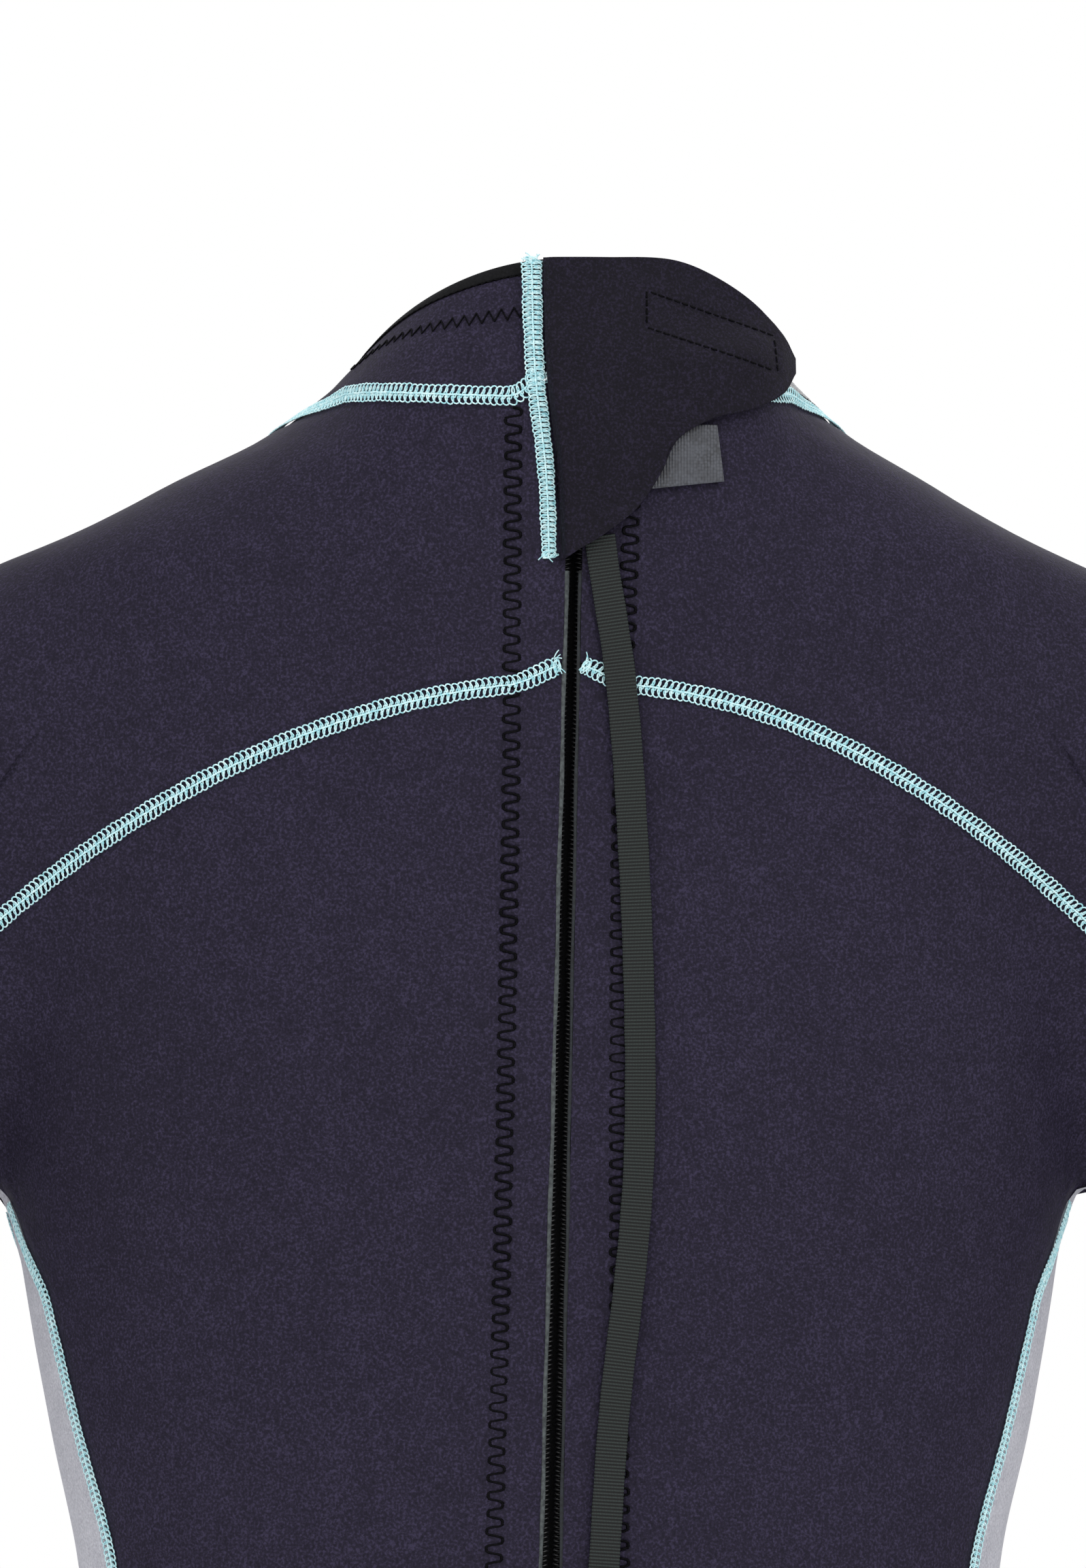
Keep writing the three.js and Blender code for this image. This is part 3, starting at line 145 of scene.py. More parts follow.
def body(p):
    """Less than 0 inside the suit's outer face, about the distance from it outside."""
    side, y, z = np.abs(p[:, 0]), p[:, 1], p[:, 2]
    half, back, front = along(TORSO, z, 1), along(TORSO, z, 2), along(TORSO, z, 3)
    centre, deep = (back + front) / 2, (front - back) / 2
    far = np.hypot(side, y - centre)
    share = (side / half) ** ROUNDNESS + (np.abs(y - centre) / deep) ** ROUNDNESS
    f = far - far / np.maximum(share, 1e-9) ** (1 / ROUNDNESS)
    f = -soft_min(-f, z - CROTCH, 40)
    q = np.stack([side, y, z], axis=1)
    arm = np.full(len(p), 1e9)
    for piece in ARM:
        arm = soft_min(arm, limb(q, *piece), 20)
    f = soft_min(f, arm, 28)
    q[:, 0] = np.hypot(side, 10)
    leg = np.full(len(p), 1e9)
    for piece in LEG:
        leg = soft_min(leg, limb(q, *piece), 24)
    f = soft_min(f, leg, 34)
    f = soft_min(f, np.linalg.norm(q - (76, -42, -640), axis=1) - 77, 50)
    flat = ((1 - ramp(33, 80, side)) * ramp(ZIP_BOTTOM - 90, ZIP_BOTTOM - 5, z)
            * (1 - ramp(10, 28, z)) * ramp(0, 40, -y))
    return f + (zip_depth(z) - y - f) * flat


def lean_by(x, z):
    held = np.where(z < ZIP_BOTTOM, 1 - ramp(-ZIP_BOTTOM, 160 - ZIP_BOTTOM, -z), 1)
    run = LEAN * (np.clip(z, ZIP_BOTTOM, 10) - LEAN_ZERO)
    return held * run * (1 - ramp(20, 200, np.abs(x)))


def leaned(p):
    q = p.copy()
    q[:, 0] += lean_by(p[:, 0], p[:, 2])
    return q


def upright(p):
    q = p.copy()
    for _ in range(4):
        q[:, 0] = p[:, 0] - lean_by(q[:, 0], p[:, 2])
    return q


def suit_form(p):
    return body(upright(p))


def collar_height(c):
    return 2 + 31.5 * c + 11.5 * c * c


def cover(p):
    """The form with the collar standing on it: what the flap and the threads lie over."""
    x, y, z = p[:, 0], p[:, 1], p[:, 2]
    c = np.cos(np.arctan2((x - 8) / 80, -(y + 2) / 76))
    foot = np.where(c > 0, 9 * c - 9, 39 * c - 9)
    h = np.clip((z - foot) / (collar_height(c) - foot), 0, 1)
    half = NECK_HALF + 4 + (COLLAR_HALF - NECK_HALF - 4) * h
    middle = NECK_CENTRE + (COLLAR_Y - NECK_CENTRE) * h
    behind = NECK_BACK + (COLLAR_BACK - NECK_BACK) * h
    before = NECK_FRONT + 4 + (COLLAR_FRONT - NECK_FRONT - 4) * h
    deep = np.where(y < middle, behind, before)
    sideways = x - (8.5 + (COLLAR_X - 8.5) * h)
    far = np.hypot(sideways, y - middle)
    collar = far - far / np.maximum(np.hypot(sideways / half, (y - middle) / deep), 1e-6)
    q = p.copy()
    q[:, 0] -= lean_by(x, z)
    return soft_min(body(q), collar, 6)


def slope_of(field, p, e=0.5):
    columns = []
    for k in range(3):
        step = np.zeros(3)
        step[k] = e
        columns.append((field(p + step) - field(p - step)) / (2 * e))
    return np.stack(columns, axis=1)


def settle(p, field=body, level=0.0, rounds=6):
    """Moves points square to the form until they lie at a level of it."""
    p = np.array(p, dtype=float)
    for _ in range(rounds):
        s = slope_of(field, p)
        p += s * ((level - field(p)) / np.maximum((s * s).sum(1), 0.04))[:, None]
    return p


def normals_of(field, p):
    s = slope_of(field, p)
    return s / np.linalg.norm(s, axis=1)[:, None]


def ray(field, start, way, level, sign, reach=260.0):
    """First places along rays where the field passes a level, marching and then halving."""
    start, way = np.broadcast_arrays(np.asarray(start, float), np.asarray(way, float))
    level = np.broadcast_to(np.asarray(level, float), len(start))
    t = np.zeros(len(start))
    low, done = np.zeros(len(start)), np.zeros(len(start), bool)
    best, nearest = np.zeros(len(start)), np.full(len(start), 1e9)
    for _ in range(300):
        v = sign * (field(start + way * t[:, None]) - level)
        done |= v > 0
        close = ~done & (-v < nearest)
        best, nearest = np.where(close, t, best), np.where(close, -v, nearest)
        low = np.where(done, low, t)
        t = np.where(done, t, t + np.maximum(1, -v * 0.5))
        if (done | (t > reach)).all():
            break
    high = t.copy()
    for _ in range(24):
        m = (low + high) / 2
        past = sign * (field(start + way * m[:, None]) - level) > 0
        high, low = np.where(past, m, high), np.where(past, low, m)
    return start + way * np.where(done, high, best)[:, None]


def from_behind(x, z, field=body, level=0.0):
    x, z = np.broadcast_arrays(np.asarray(x, float), np.asarray(z, float))
    return ray(field, np.stack([x, np.full(x.shape, -180.0), z], axis=1), (0, 1, 0), level, -1)


# ---- Lines of stitching, on the right side -------------------------------------------------------------


def slit_half(z):
    return SLIT + SLIT_GROWTH * np.maximum(0, ZIP_LEVEL - z)


def on_neck(c, x):
    """Depth and height of the neck seam x across, on the turn whose cosine is c, 1 straight behind."""
    y = NECK_CENTRE - np.where(c > 0, NECK_BACK, NECK_FRONT) * c
    rise = np.where(c > 0, NECK_RISE, 0) * (1 - ramp(9, 22, np.abs(x)))
    return y, np.minimum(-18 - 0.42 * y - 0.0016 * y * y, -0.5) + rise


def neck_line(turns):
    c, s = np.cos(turns), np.sin(turns)
    x = NECK_HALF * s
    y, z = on_neck(c, x)
    return settle(np.stack([x, y, z], axis=1))


def arch_line(n=120):
    x = np.linspace(SLIT + 1.5, CHEST_HALF + 13, n)
    return from_behind(x, -93 - 0.00245 * x * x + 6 * (1 - ramp(0, 20, x)))


def around(turns, z, centre, reach):
    """Places on the form, seen level from an upright line inside it."""
    way = np.stack([np.cos(turns), np.sin(turns), 0 * turns], axis=1)
    return ray(body, np.stack([centre[0] + 0 * z, centre[1] + 0 * z, z], axis=1), way, 0, 1, reach)


TORSO_CENTRE, LEG_CENTRE = (0, 0), (105, -2)


SIDE_BACK = [(-250, -5), (-270, -10), (-307, -14.5), (-333, -17), (-382, -22), (-450, -25), (-600, -21)]
SIDE_FRONT = [(-250, 5), (-300, 14), (-382, 20), (-450, 22), (-600, 16)]
PIT_BACK, PIT_FRONT = (-4.26, -260.5), (-0.1, -262.5)


def side_line(rows, start, n=200):
    z = np.linspace(start[1] - 2, HIP_SEAM, n)
    share = ramp(0, 1, (start[1] - z) / 36)
    turn = np.radians(start[0] + (along(rows, z) - start[0]) * share)
    return around(turn, z, TORSO_CENTRE, 400)


def leg_line(top, degrees, n=300):
    z = np.linspace(HIP_SEAM, ANKLE, n)
    start = math.atan2(top[1] - LEG_CENTRE[1], top[0] - LEG_CENTRE[0])
    turn = start + (math.radians(degrees) - start) * ramp(250, 0, z - HIP_SEAM + 250)
    return around(turn, z, LEG_CENTRE, 300)


def raglan_line(n=90):
    pit = settle(np.array([[CHEST_HALF + 8.0, 44, -200]]))[0]
    top = neck_line(np.array([math.radians(125)]))[0]
    t = np.linspace(0.02, 0.97, n)
    turn = math.atan2(pit[1], pit[0]) * (1 - t) + math.atan2(top[1], top[0]) * t
    return around(turn, pit[2] * (1 - t) + top[2] * t, TORSO_CENTRE, 400)


def mirrored(p):
    return p * (-1, 1, 1)


FLAP_SEAM = [(45, -0.4), (8, 0.5), (-25, 4), (-54, 5)]
arch = arch_line()
side_back = side_line(SIDE_BACK, PIT_BACK)
side_front = side_line(SIDE_FRONT, PIT_FRONT)
leg_back = leg_line(side_back[-1], -28)
raglan = raglan_line()
neck = neck_line(np.radians(np.linspace(-180.6, 180.6, 420)))
neck = neck[(np.abs(neck[:, 0]) > 1.6) | (neck[:, 1] > 0)]

# ---- Camera, lights and floor -----------------------------------------------------------------------------


def metres(p):
    return Vector([float(v) * MM for v in p])


VIEW_TURN = math.radians(1.5)  # the camera stands a little to the left of straight behind
VIEW_FAR = 3400.0
VIEW_HIGH = 512.0  # height of the field of view at the suit
aim = np.array([0.0, -60.0, -126.0])
eye = aim + VIEW_FAR * np.array([-math.sin(VIEW_TURN), -math.cos(VIEW_TURN), 0.0])
camera = bpy.data.objects.new("camera", bpy.data.cameras.new("camera"))
bpy.context.scene.collection.objects.link(camera)
camera.location = metres(eye)
camera.rotation_euler = (metres(aim) - metres(eye)).to_track_quat("-Z", "Y").to_euler()
camera.data.sensor_width = 36
camera.data.lens = 36 * VIEW_FAR / VIEW_HIGH
camera.data.clip_end = 60
bpy.context.scene.camera = camera
bpy.context.scene.view_settings.view_transform = "Standard"


def lamp(name, place, toward, power, size):
    data = bpy.data.lights.new(name, "AREA")
    data.energy, data.size = power, size
    obj = bpy.data.objects.new(name, data)
    obj.location = place
    obj.rotation_euler = (Vector(toward) - Vector(place)).to_track_quat("-Z", "Y").to_euler()
    bpy.context.scene.collection.objects.link(obj)


lamp("key", (1.3, -2.6, 1.6), (0, 0, -0.2), 34, 1.6)
lamp("fill", (-2.4, -2.2, 0.9), (0, 0, -0.3), 13, 2.2)
lamp("top", (0, 0.3, 2.6), (0, 0, -0.2), 12, 2.0)
lamp("front", (0.6, 3.0, 0.6), (0, 0, -0.4), 22, 2.4)
world = bpy.data.worlds.new("studio")
bpy.context.scene.world = world
world.use_nodes = True
world.node_tree.nodes["Background"].inputs["Color"].default_value = (1, 1, 1, 1)
world.node_tree.nodes["Background"].inputs["Strength"].default_value = 1.0

# ---- Materials --------------------------------------------------------------------------------------------


def linear(hex_colour):
    """An sRGB hex colour as linear red, green, blue and alpha."""
    channels = [int(hex_colour[i : i + 2], 16) / 255 for i in (1, 3, 5)]
    return [c / 12.92 if c <= 0.04045 else ((c + 0.055) / 1.055) ** 2.4 for c in channels] + [1.0]


def node(tree, kind, settings=(), **links):
    """Adds a node. settings are its properties and values; a link is an input's name and an output socket. An input
    without a name of its own is _ and its number."""
    made = tree.nodes.new(kind)
    for name, value in dict(settings).items():
        if name[0] == "_":
            made.inputs[int(name[1:])].default_value = value
        elif name[0].isupper():
            made.inputs[name].default_value = value
        else:
            setattr(made, name, value)
    for name, source in links.items():
        tree.links.new(source, made.inputs[int(name[1:]) if name[0] == "_" else name])
    return made


def material(name):
    """A new material, its node tree, its shader, and Object coordinates for its patterns."""
    made = bpy.data.materials.new(name)
    made.use_nodes = True
    tree = made.node_tree
    return made, tree, tree.nodes["Principled BSDF"], node(tree, "ShaderNodeTexCoord").outputs["Object"]


def stops(ramp_node, *pairs):
    elements = ramp_node.color_ramp.elements
    while len(elements) < len(pairs):
        elements.new(0.5)
    for element, (at, colour) in zip(elements, pairs):
        element.position, element.color = at, linear(colour)


def knit_neoprene(name, dark, mid, light, sheen, grain=1.0):
    """Nylon knit bonded to neoprene foam: matte, finely grained, with soft mottling where the foam stretches."""
    made, tree, shader, place = material(name)
    # One knit loop is about 0.45 mm; loops and grains are drawn at 0.8 to 1.1 mm so that they show.
    loops = node(tree, "ShaderNodeTexVoronoi", {"Scale": 1250.0, "Randomness": 0.75}, Vector=place)
    grains = node(tree, "ShaderNodeTexNoise", {"Scale": 1150.0, "Detail": 2.5, "Roughness": 0.6}, Vector=place)
    patches = node(tree, "ShaderNodeTexNoise", {"Scale": 9.0, "Detail": 3.0, "Roughness": 0.55}, Vector=place)
    mottle = node(tree, "ShaderNodeTexNoise", {"Scale": 95.0, "Detail": 4.0, "Roughness": 0.6}, Vector=place)
    faint = node(tree, "ShaderNodeMath", {"operation": "MULTIPLY", "_1": 0.45}, _0=mottle.outputs["Fac"])
    both = node(tree, "ShaderNodeMath", {"operation": "MULTIPLY_ADD", "_1": 0.35},
                _0=patches.outputs["Fac"], _2=faint.outputs[0])
    speck = node(tree, "ShaderNodeMath", {"operation": "MULTIPLY_ADD", "_1": 3.0 * grain},
                 _0=grains.outputs["Fac"], _2=both.outputs[0])
    # The patterns average half their height, so this brings their middle to the middle colour's stop.
    scaled = node(tree, "ShaderNodeMath", {"operation": "MULTIPLY", "_1": 0.765 / (0.4 + 1.5 * grain)},
                  _0=speck.outputs[0])
    tone = node(tree, "ShaderNodeValToRGB", Fac=scaled.outputs[0])
    stops(tone, (0.5, dark), (0.765, mid), (0.98, light))
    tree.links.new(tone.outputs["Color"], shader.inputs["Base Color"])
    rough = node(tree, "ShaderNodeMapRange", {"To Min": 0.62, "To Max": 0.8}, Value=grains.outputs["Fac"])
    tree.links.new(rough.outputs[0], shader.inputs["Roughness"])
    weave = node(tree, "ShaderNodeBump", {"Strength": 0.34, "Distance": 0.00022}, Height=loops.outputs["Distance"])
    felt = node(tree, "ShaderNodeBump", {"Strength": 0.5, "Distance": 0.0003},
                Height=grains.outputs["Fac"], Normal=weave.outputs["Normal"])
    soft = node(tree, "ShaderNodeBump", {"Strength": 0.35, "Distance": 0.0016},
                Height=mottle.outputs["Fac"], Normal=felt.outputs["Normal"])
    tree.links.new(soft.outputs["Normal"], shader.inputs["Normal"])
    shader.inputs["Specular IOR Level"].default_value = 0.12
    shader.inputs["Sheen Weight"].default_value = sheen
    shader.inputs["Sheen Roughness"].default_value = 0.45
    shader.inputs["Sheen Tint"].default_value = linear(light)
    return made


navy = knit_neoprene("nylon_knit_neoprene_navy", "#14111d", "#1f1b2a", "#322d42", 0.03)
# The flap is the same navy jersey coloured darker: painted shade, where the flap turns away from the light.
navy_painted_shade_flap = knit_neoprene("nylon_knit_neoprene_navy_painted_shade", "#09070f", "#110e18", "#201c2c", 0.01)
grey = knit_neoprene("nylon_knit_neoprene_grey", "#8f8f97", "#a9a9b1", "#bcbcc3", 0.05, 0.6)
trim = knit_neoprene("smoothskin_neoprene_black", "#050507", "#0b0b0d", "#131316", 0.02, 0.6)


def cut_edge_foam():
    """Closed-cell foam where the neoprene is cut: paler, soft and finely pored."""
    made, tree, shader, place = material("cut_neoprene_edge")
    pores = node(tree, "ShaderNodeTexVoronoi", {"Scale": 1900.0}, Vector=place)
    tone = node(tree, "ShaderNodeValToRGB", Fac=pores.outputs["Distance"])
    stops(tone, (0.0, "#3a3844"), (0.6, "#56545f"))
    tree.links.new(tone.outputs["Color"], shader.inputs["Base Color"])
    dents = node(tree, "ShaderNodeBump", {"Strength": 0.6, "Distance": 0.0002}, Height=pores.outputs["Distance"])
    tree.links.new(dents.outputs["Normal"], shader.inputs["Normal"])
    shader.inputs["Roughness"].default_value = 0.85
    return made


def jersey_edge(name, dark, light):
    """Cut edge of the suit's jersey lining: soft, slightly felted yarn ends about 1.5 mm long."""
    made, tree, shader, place = material(name)
    ends = node(tree, "ShaderNodeTexNoise", {"Scale": 700.0, "Detail": 4.0}, Vector=place)
    tone = node(tree, "ShaderNodeValToRGB", Fac=ends.outputs["Fac"])
    stops(tone, (0.35, dark), (0.65, light))
    tree.links.new(tone.outputs["Color"], shader.inputs["Base Color"])
    felt = node(tree, "ShaderNodeBump", {"Strength": 0.5, "Distance": 0.0002}, Height=ends.outputs["Fac"])
    tree.links.new(felt.outputs["Normal"], shader.inputs["Normal"])
    shader.inputs["Roughness"].default_value = 0.85
    return made


foam_edge = cut_edge_foam()
# One lining in two copies: a lighter one for the slit's left lip, painted as lit, and a darker one for its right lip,
# painted in shade. The darker copy is also the dark glue in the joints.
lining_edge_painted_lit = jersey_edge("cut_jersey_edge_painted_lit", "#2a2e30", "#4a5051")
lining_edge_black_and_painted_shade = jersey_edge("cut_jersey_edge_black_and_painted_shade", "#0d1013", "#1c2126")


def spun_thread(name, base, light, sheen):
    """Spun polyester sewing thread: soft lustre, with its twist showing as fine slanting lines."""
    made, tree, shader, place = material(name)
    # The plies cross the thread every 0.4 mm.
    twist = node(tree, "ShaderNodeTexWave",
                 {"Scale": 5200.0 / 6.28, "Distortion": 2.0, "bands_direction": "DIAGONAL"}, Vector=place)
    fuzz = node(tree, "ShaderNodeTexNoise", {"Scale": 900.0, "Detail": 4.0}, Vector=place)
    tone = node(tree, "ShaderNodeValToRGB", Fac=fuzz.outputs["Fac"])
    stops(tone, (0.32, base), (0.66, light))
    tree.links.new(tone.outputs["Color"], shader.inputs["Base Color"])
    rough = node(tree, "ShaderNodeMapRange", {"To Min": 0.4, "To Max": 0.65}, Value=fuzz.outputs["Fac"])
    tree.links.new(rough.outputs[0], shader.inputs["Roughness"])
    ply = node(tree, "ShaderNodeBump", {"Strength": 0.5, "Distance": 0.00008}, Height=twist.outputs["Fac"])
    tree.links.new(ply.outputs["Normal"], shader.inputs["Normal"])
    shader.inputs["Sheen Weight"].default_value = sheen
    shader.inputs["Specular IOR Level"].default_value = 0.25 if sheen else 0.05
    return made


cyan_thread = spun_thread("spun_polyester_thread_cyan", "#8ccad4", "#d6f1f3", 0.2)
black_thread = spun_thread("spun_polyester_thread_black", "#020203", "#0b0a0d", 0.0)


def grosgrain():
    """Woven grosgrain webbing: fat ribs across, made of fine warp threads running along it."""
    made, tree, shader, _ = material("woven_grosgrain_webbing")
    uv = node(tree, "ShaderNodeUVMap", {"uv_map": "lay"}).outputs["UV"]
    # U runs across the webbing and V along it, both in millimetres: a rib every 1.1 mm, and warp threads of 0.5 mm.
    ribs = node(tree, "ShaderNodeTexWave", {"Scale": 0.3142 / RIB, "Distortion": 0.15, "bands_direction": "Y"},
                Vector=uv)
    warp = node(tree, "ShaderNodeTexWave", {"Scale": 0.63, "Distortion": 0.4, "bands_direction": "X"}, Vector=uv)
    fibre = node(tree, "ShaderNodeTexNoise", {"Scale": 3.0, "Detail": 5.0, "Roughness": 0.7}, Vector=uv)
    worn = node(tree, "ShaderNodeMath", {"operation": "MULTIPLY_ADD", "_1": 0.5}, _0=warp.outputs["Fac"],
                _2=fibre.outputs["Fac"])
    # The ribs' wave darkens the colour between the ribs and lightens their tops: painted shade and painted highlight
    # over the weave's own tone. The ribs' relief itself is in the mesh.
    weave_and_rib_shade = node(tree, "ShaderNodeMath", {"operation": "MULTIPLY"}, _0=worn.outputs[0], _1=ribs.outputs["Fac"])
    tone = node(tree, "ShaderNodeValToRGB", Fac=weave_and_rib_shade.outputs[0])
    stops(tone, (0.05, "#030404"), (0.45, "#141918"), (0.92, "#2f3836"))
    tree.links.new(tone.outputs["Color"], shader.inputs["Base Color"])
    dents = node(tree, "ShaderNodeBump", {"Strength": 0.55, "Distance": 0.00018}, Height=warp.outputs["Fac"])
    hairs = node(tree, "ShaderNodeBump", {"Strength": 0.4, "Distance": 0.0001},
                 Height=fibre.outputs["Fac"], Normal=dents.outputs["Normal"])
    tree.links.new(hairs.outputs["Normal"], shader.inputs["Normal"])
    shader.inputs["Roughness"].default_value = 0.62
    shader.inputs["Specular IOR Level"].default_value = 0.3
    return made


webbing = grosgrain()


def hook_tape():
    """Woven nylon tape with fine thread bands, its hooks showing as specks all over it."""
    made, tree, shader, place = material("nylon_hook_tape_grey")
    threads = node(tree, "ShaderNodeTexWave", {"Scale": 330.0, "Distortion": 0.6, "bands_direction": "X"},
                   Vector=place)
    specks = node(tree, "ShaderNodeTexVoronoi", {"Scale": 950.0, "Randomness": 0.5}, Vector=place)
    cloud = node(tree, "ShaderNodeTexNoise", {"Scale": 160.0, "Detail": 3.0}, Vector=place)
    mixed = node(tree, "ShaderNodeMath", {"operation": "MULTIPLY"}, _0=specks.outputs["Distance"],
                 _1=cloud.outputs["Fac"])
    tone = node(tree, "ShaderNodeValToRGB", Fac=mixed.outputs[0])
    stops(tone, (0.02, "#44474f"), (0.4, "#1f2026"))
    tree.links.new(tone.outputs["Color"], shader.inputs["Base Color"])
    weave = node(tree, "ShaderNodeBump", {"Strength": 0.5, "Distance": 0.0002}, Height=threads.outputs["Fac"])
    tree.links.new(weave.outputs["Normal"], shader.inputs["Normal"])
    shader.inputs["Roughness"].default_value = 0.42
    return made


hook_nylon = hook_tape()


def moulded_nylon():
    """Moulded nylon monofilament of a zip coil: black, half glossy, faintly scuffed."""
    made, tree, shader, place = material("moulded_nylon_coil")
    scuff = node(tree, "ShaderNodeTexNoise", {"Scale": 700.0, "Detail": 4.0}, Vector=place)
    tone = node(tree, "ShaderNodeValToRGB", Fac=scuff.outputs["Fac"])
    stops(tone, (0.3, "#0b0b0d"), (0.75, "#1c1c20"))
    tree.links.new(tone.outputs["Color"], shader.inputs["Base Color"])
    rough = node(tree, "ShaderNodeMapRange", {"To Min": 0.28, "To Max": 0.5}, Value=scuff.outputs["Fac"])
    tree.links.new(rough.outputs[0], shader.inputs["Roughness"])
    return made


def woven_tape():
    """Zip tape: plain black weave of 0.5 mm threads."""
    made, tree, shader, place = material("woven_polyester_zip_tape")
    weft = node(tree, "ShaderNodeTexWave", {"Scale": 320.0, "bands_direction": "Z", "Distortion": 0.5},
               Vector=place)
    warp = node(tree, "ShaderNodeTexWave", {"Scale": 320.0, "bands_direction": "X", "Distortion": 0.5},
               Vector=place)
    cross = node(tree, "ShaderNodeMath", {"operation": "MAXIMUM"}, _0=weft.outputs["Fac"], _1=warp.outputs["Fac"])
    tone = node(tree, "ShaderNodeValToRGB", Fac=cross.outputs[0])
    stops(tone, (0.2, "#0a0a0c"), (0.9, "#1b1b1f"))
    tree.links.new(tone.outputs["Color"], shader.inputs["Base Color"])
    relief = node(tree, "ShaderNodeBump", {"Strength": 0.5, "Distance": 0.0002}, Height=cross.outputs[0])
    tree.links.new(relief.outputs["Normal"], shader.inputs["Normal"])
    shader.inputs["Roughness"].default_value = 0.75
    return made


def lacquered_zinc():
    """Die-cast zinc with black lacquer: smooth and dark, with the lacquer thin and bright on worn high spots."""
    made, tree, shader, place = material("lacquered_die_cast_zinc")
    cast = node(tree, "ShaderNodeTexNoise", {"Scale": 420.0, "Detail": 5.0}, Vector=place)
    tone = node(tree, "ShaderNodeValToRGB", Fac=cast.outputs["Fac"])
    stops(tone, (0.45, "#1d1d20"), (0.8, "#4a4a4e"))
    tree.links.new(tone.outputs["Color"], shader.inputs["Base Color"])
    rough = node(tree, "ShaderNodeMapRange", {"To Min": 0.25, "To Max": 0.5}, Value=cast.outputs["Fac"])
    tree.links.new(rough.outputs[0], shader.inputs["Roughness"])
    shader.inputs["Metallic"].default_value = 0.75
    return made


coil_nylon, tape_cloth, zinc = moulded_nylon(), woven_tape(), lacquered_zinc()


def floor_material():
    made, tree, shader, place = material("studio_floor_matte")
    cloud = node(tree, "ShaderNodeTexNoise", {"Scale": 1.5, "Detail": 2.0}, Vector=place)
    tone = node(tree, "ShaderNodeValToRGB", Fac=cloud.outputs["Fac"])
    stops(tone, (0.3, "#f4f4f4"), (0.7, "#fbfbfb"))
    tree.links.new(tone.outputs["Color"], shader.inputs["Base Color"])
    shader.inputs["Roughness"].default_value = 0.9
    return made


# ---- Making pieces ------------------------------------------------------------------------------------------


def piece(name, bm, look, body_name="suit", stands_for=(), extra=()):
    """Finishes a bmesh given in millimetres as an object of the suit."""
    for v in bm.verts:
        v.co *= MM
    data = bpy.data.meshes.new(name)
    bm.to_mesh(data)
    bm.free()
    data.materials.append(look)
    for other in extra:
        data.materials.append(other)
    for face in data.polygons:
        face.use_smooth = True
    obj = bpy.data.objects.new(name, data)
    bpy.context.scene.collection.objects.link(obj)
    if body_name:
        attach(obj, body_name)
    if stands_for:
        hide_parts(*stands_for)
    return obj


def places(bm):
    return np.array([v.co[:] for v in bm.verts]).reshape(-1, 3)


def put(verts, points):
    for v, p in zip(verts, points):
        v.co = p


def copy_of(name, gap):
    """A solid's mesh in millimetres, its loose triangles joined."""
    bm = bmesh.new()
    bm.from_mesh(NODES[name].data)
    for v in bm.verts:
        v.co /= MM
    bmesh.ops.remove_doubles(bm, verts=bm.verts, dist=gap)
    return bm


def unit(v):
    return v / np.linalg.norm(v, axis=-1)[..., None]


def wall_of(outer, inner, rows, columns, rim=0.35):
    """A sheet between two grids of points, its cut edges rounded off a little."""
    bm = bmesh.new()
    place = bm.verts.layers.int.new("place")
    made = bmesh.ops.create_grid(bm, x_segments=columns - 1, y_segments=rows - 1, size=1)["verts"]
    for k, v in enumerate(made):
        v.co, v[place] = outer[k], k
    made = bmesh.ops.extrude_face_region(bm, geom=list(bm.faces))
    for v in made["geom"]:
        if isinstance(v, bmesh.types.BMVert):
            v.co = inner[v[place]]
    if rim:
        edges = [e for e in bm.edges if len(e.link_faces) == 2 and e.calc_face_angle(0) > 1.0]
        bmesh.ops.bevel(bm, geom=edges, offset=rim, segments=2, profile=0.5, affect="EDGES", material=-1)
    bmesh.ops.recalc_face_normals(bm, faces=bm.faces)
    return bm


# ---- Foam panels: the cut solids, refined and drawn on to the true form ----------------------------------------

seam_points = [leaned(line) for line in (
    arch, mirrored(arch), side_back, mirrored(side_back), side_front, mirrored(side_front), raglan,
    mirrored(raglan), leg_back, mirrored(leg_back), neck)]
seam_tree = kdtree.KDTree(sum(len(line) for line in seam_points))
for k, p in enumerate(np.concatenate(seam_points)):
    seam_tree.insert(Vector(p), k)
seam_tree.balance()

# Soft creases: where, half length and half width, slant in degrees, depth.
CREASES = [((-80, -118, -364), 14, 3.0, -6, 0.5), ((-98, -113, -357), 9, 2.5, 40, 0.3),
           ((50, -121, -366), 17, 2.6, 4, 0.5), ((20, -121, -368), 8, 2.2, -14, 0.25),
           ((-70, -98, -322), 10, 3.0, 60, 0.2), ((88, -112, -300), 26, 12, 80, 0.35),
           ((-118, -70, -140), 40, 14, 35, 0.35), ((120, -70, -150), 36, 14, -35, 0.35)]


def relief(p):
    """How far the fabric stands off the form: slow waves, dents at the seams and a few creases."""
    slow = (0.35 * np.sin(p[:, 0] / 31 + 1.3 * np.sin(p[:, 2] / 47)) * np.sin(p[:, 2] / 38 + 0.7)
            + 0.18 * np.sin(p[:, 0] / 13 + p[:, 2] / 17) * np.sin(p[:, 2] / 21 - p[:, 0] / 41))
    near = np.array([seam_tree.find(Vector(q))[2] for q in p])
    level = slow * ramp(3, 22, near) - 0.55 * np.exp(-((near / 3.4) ** 2)) + 0.3 * np.exp(-(((near - 7) / 3) ** 2))
    for place, length, width, slant, depth in CREASES:
        a = math.radians(slant)
        dx, dz = p[:, 0] - place[0], p[:, 2] - place[2]
        u, w = (dx * math.cos(a) + dz * math.sin(a)) / length, (dz * math.cos(a) - dx * math.sin(a)) / width
        behind = np.where(p[:, 1] < 0, 1.0, 0.0)
        level -= depth * behind * np.exp(-u * u - w * w) * np.where(w > 0, 1 - 1.5 * np.minimum(w, 1), 1)
    return level


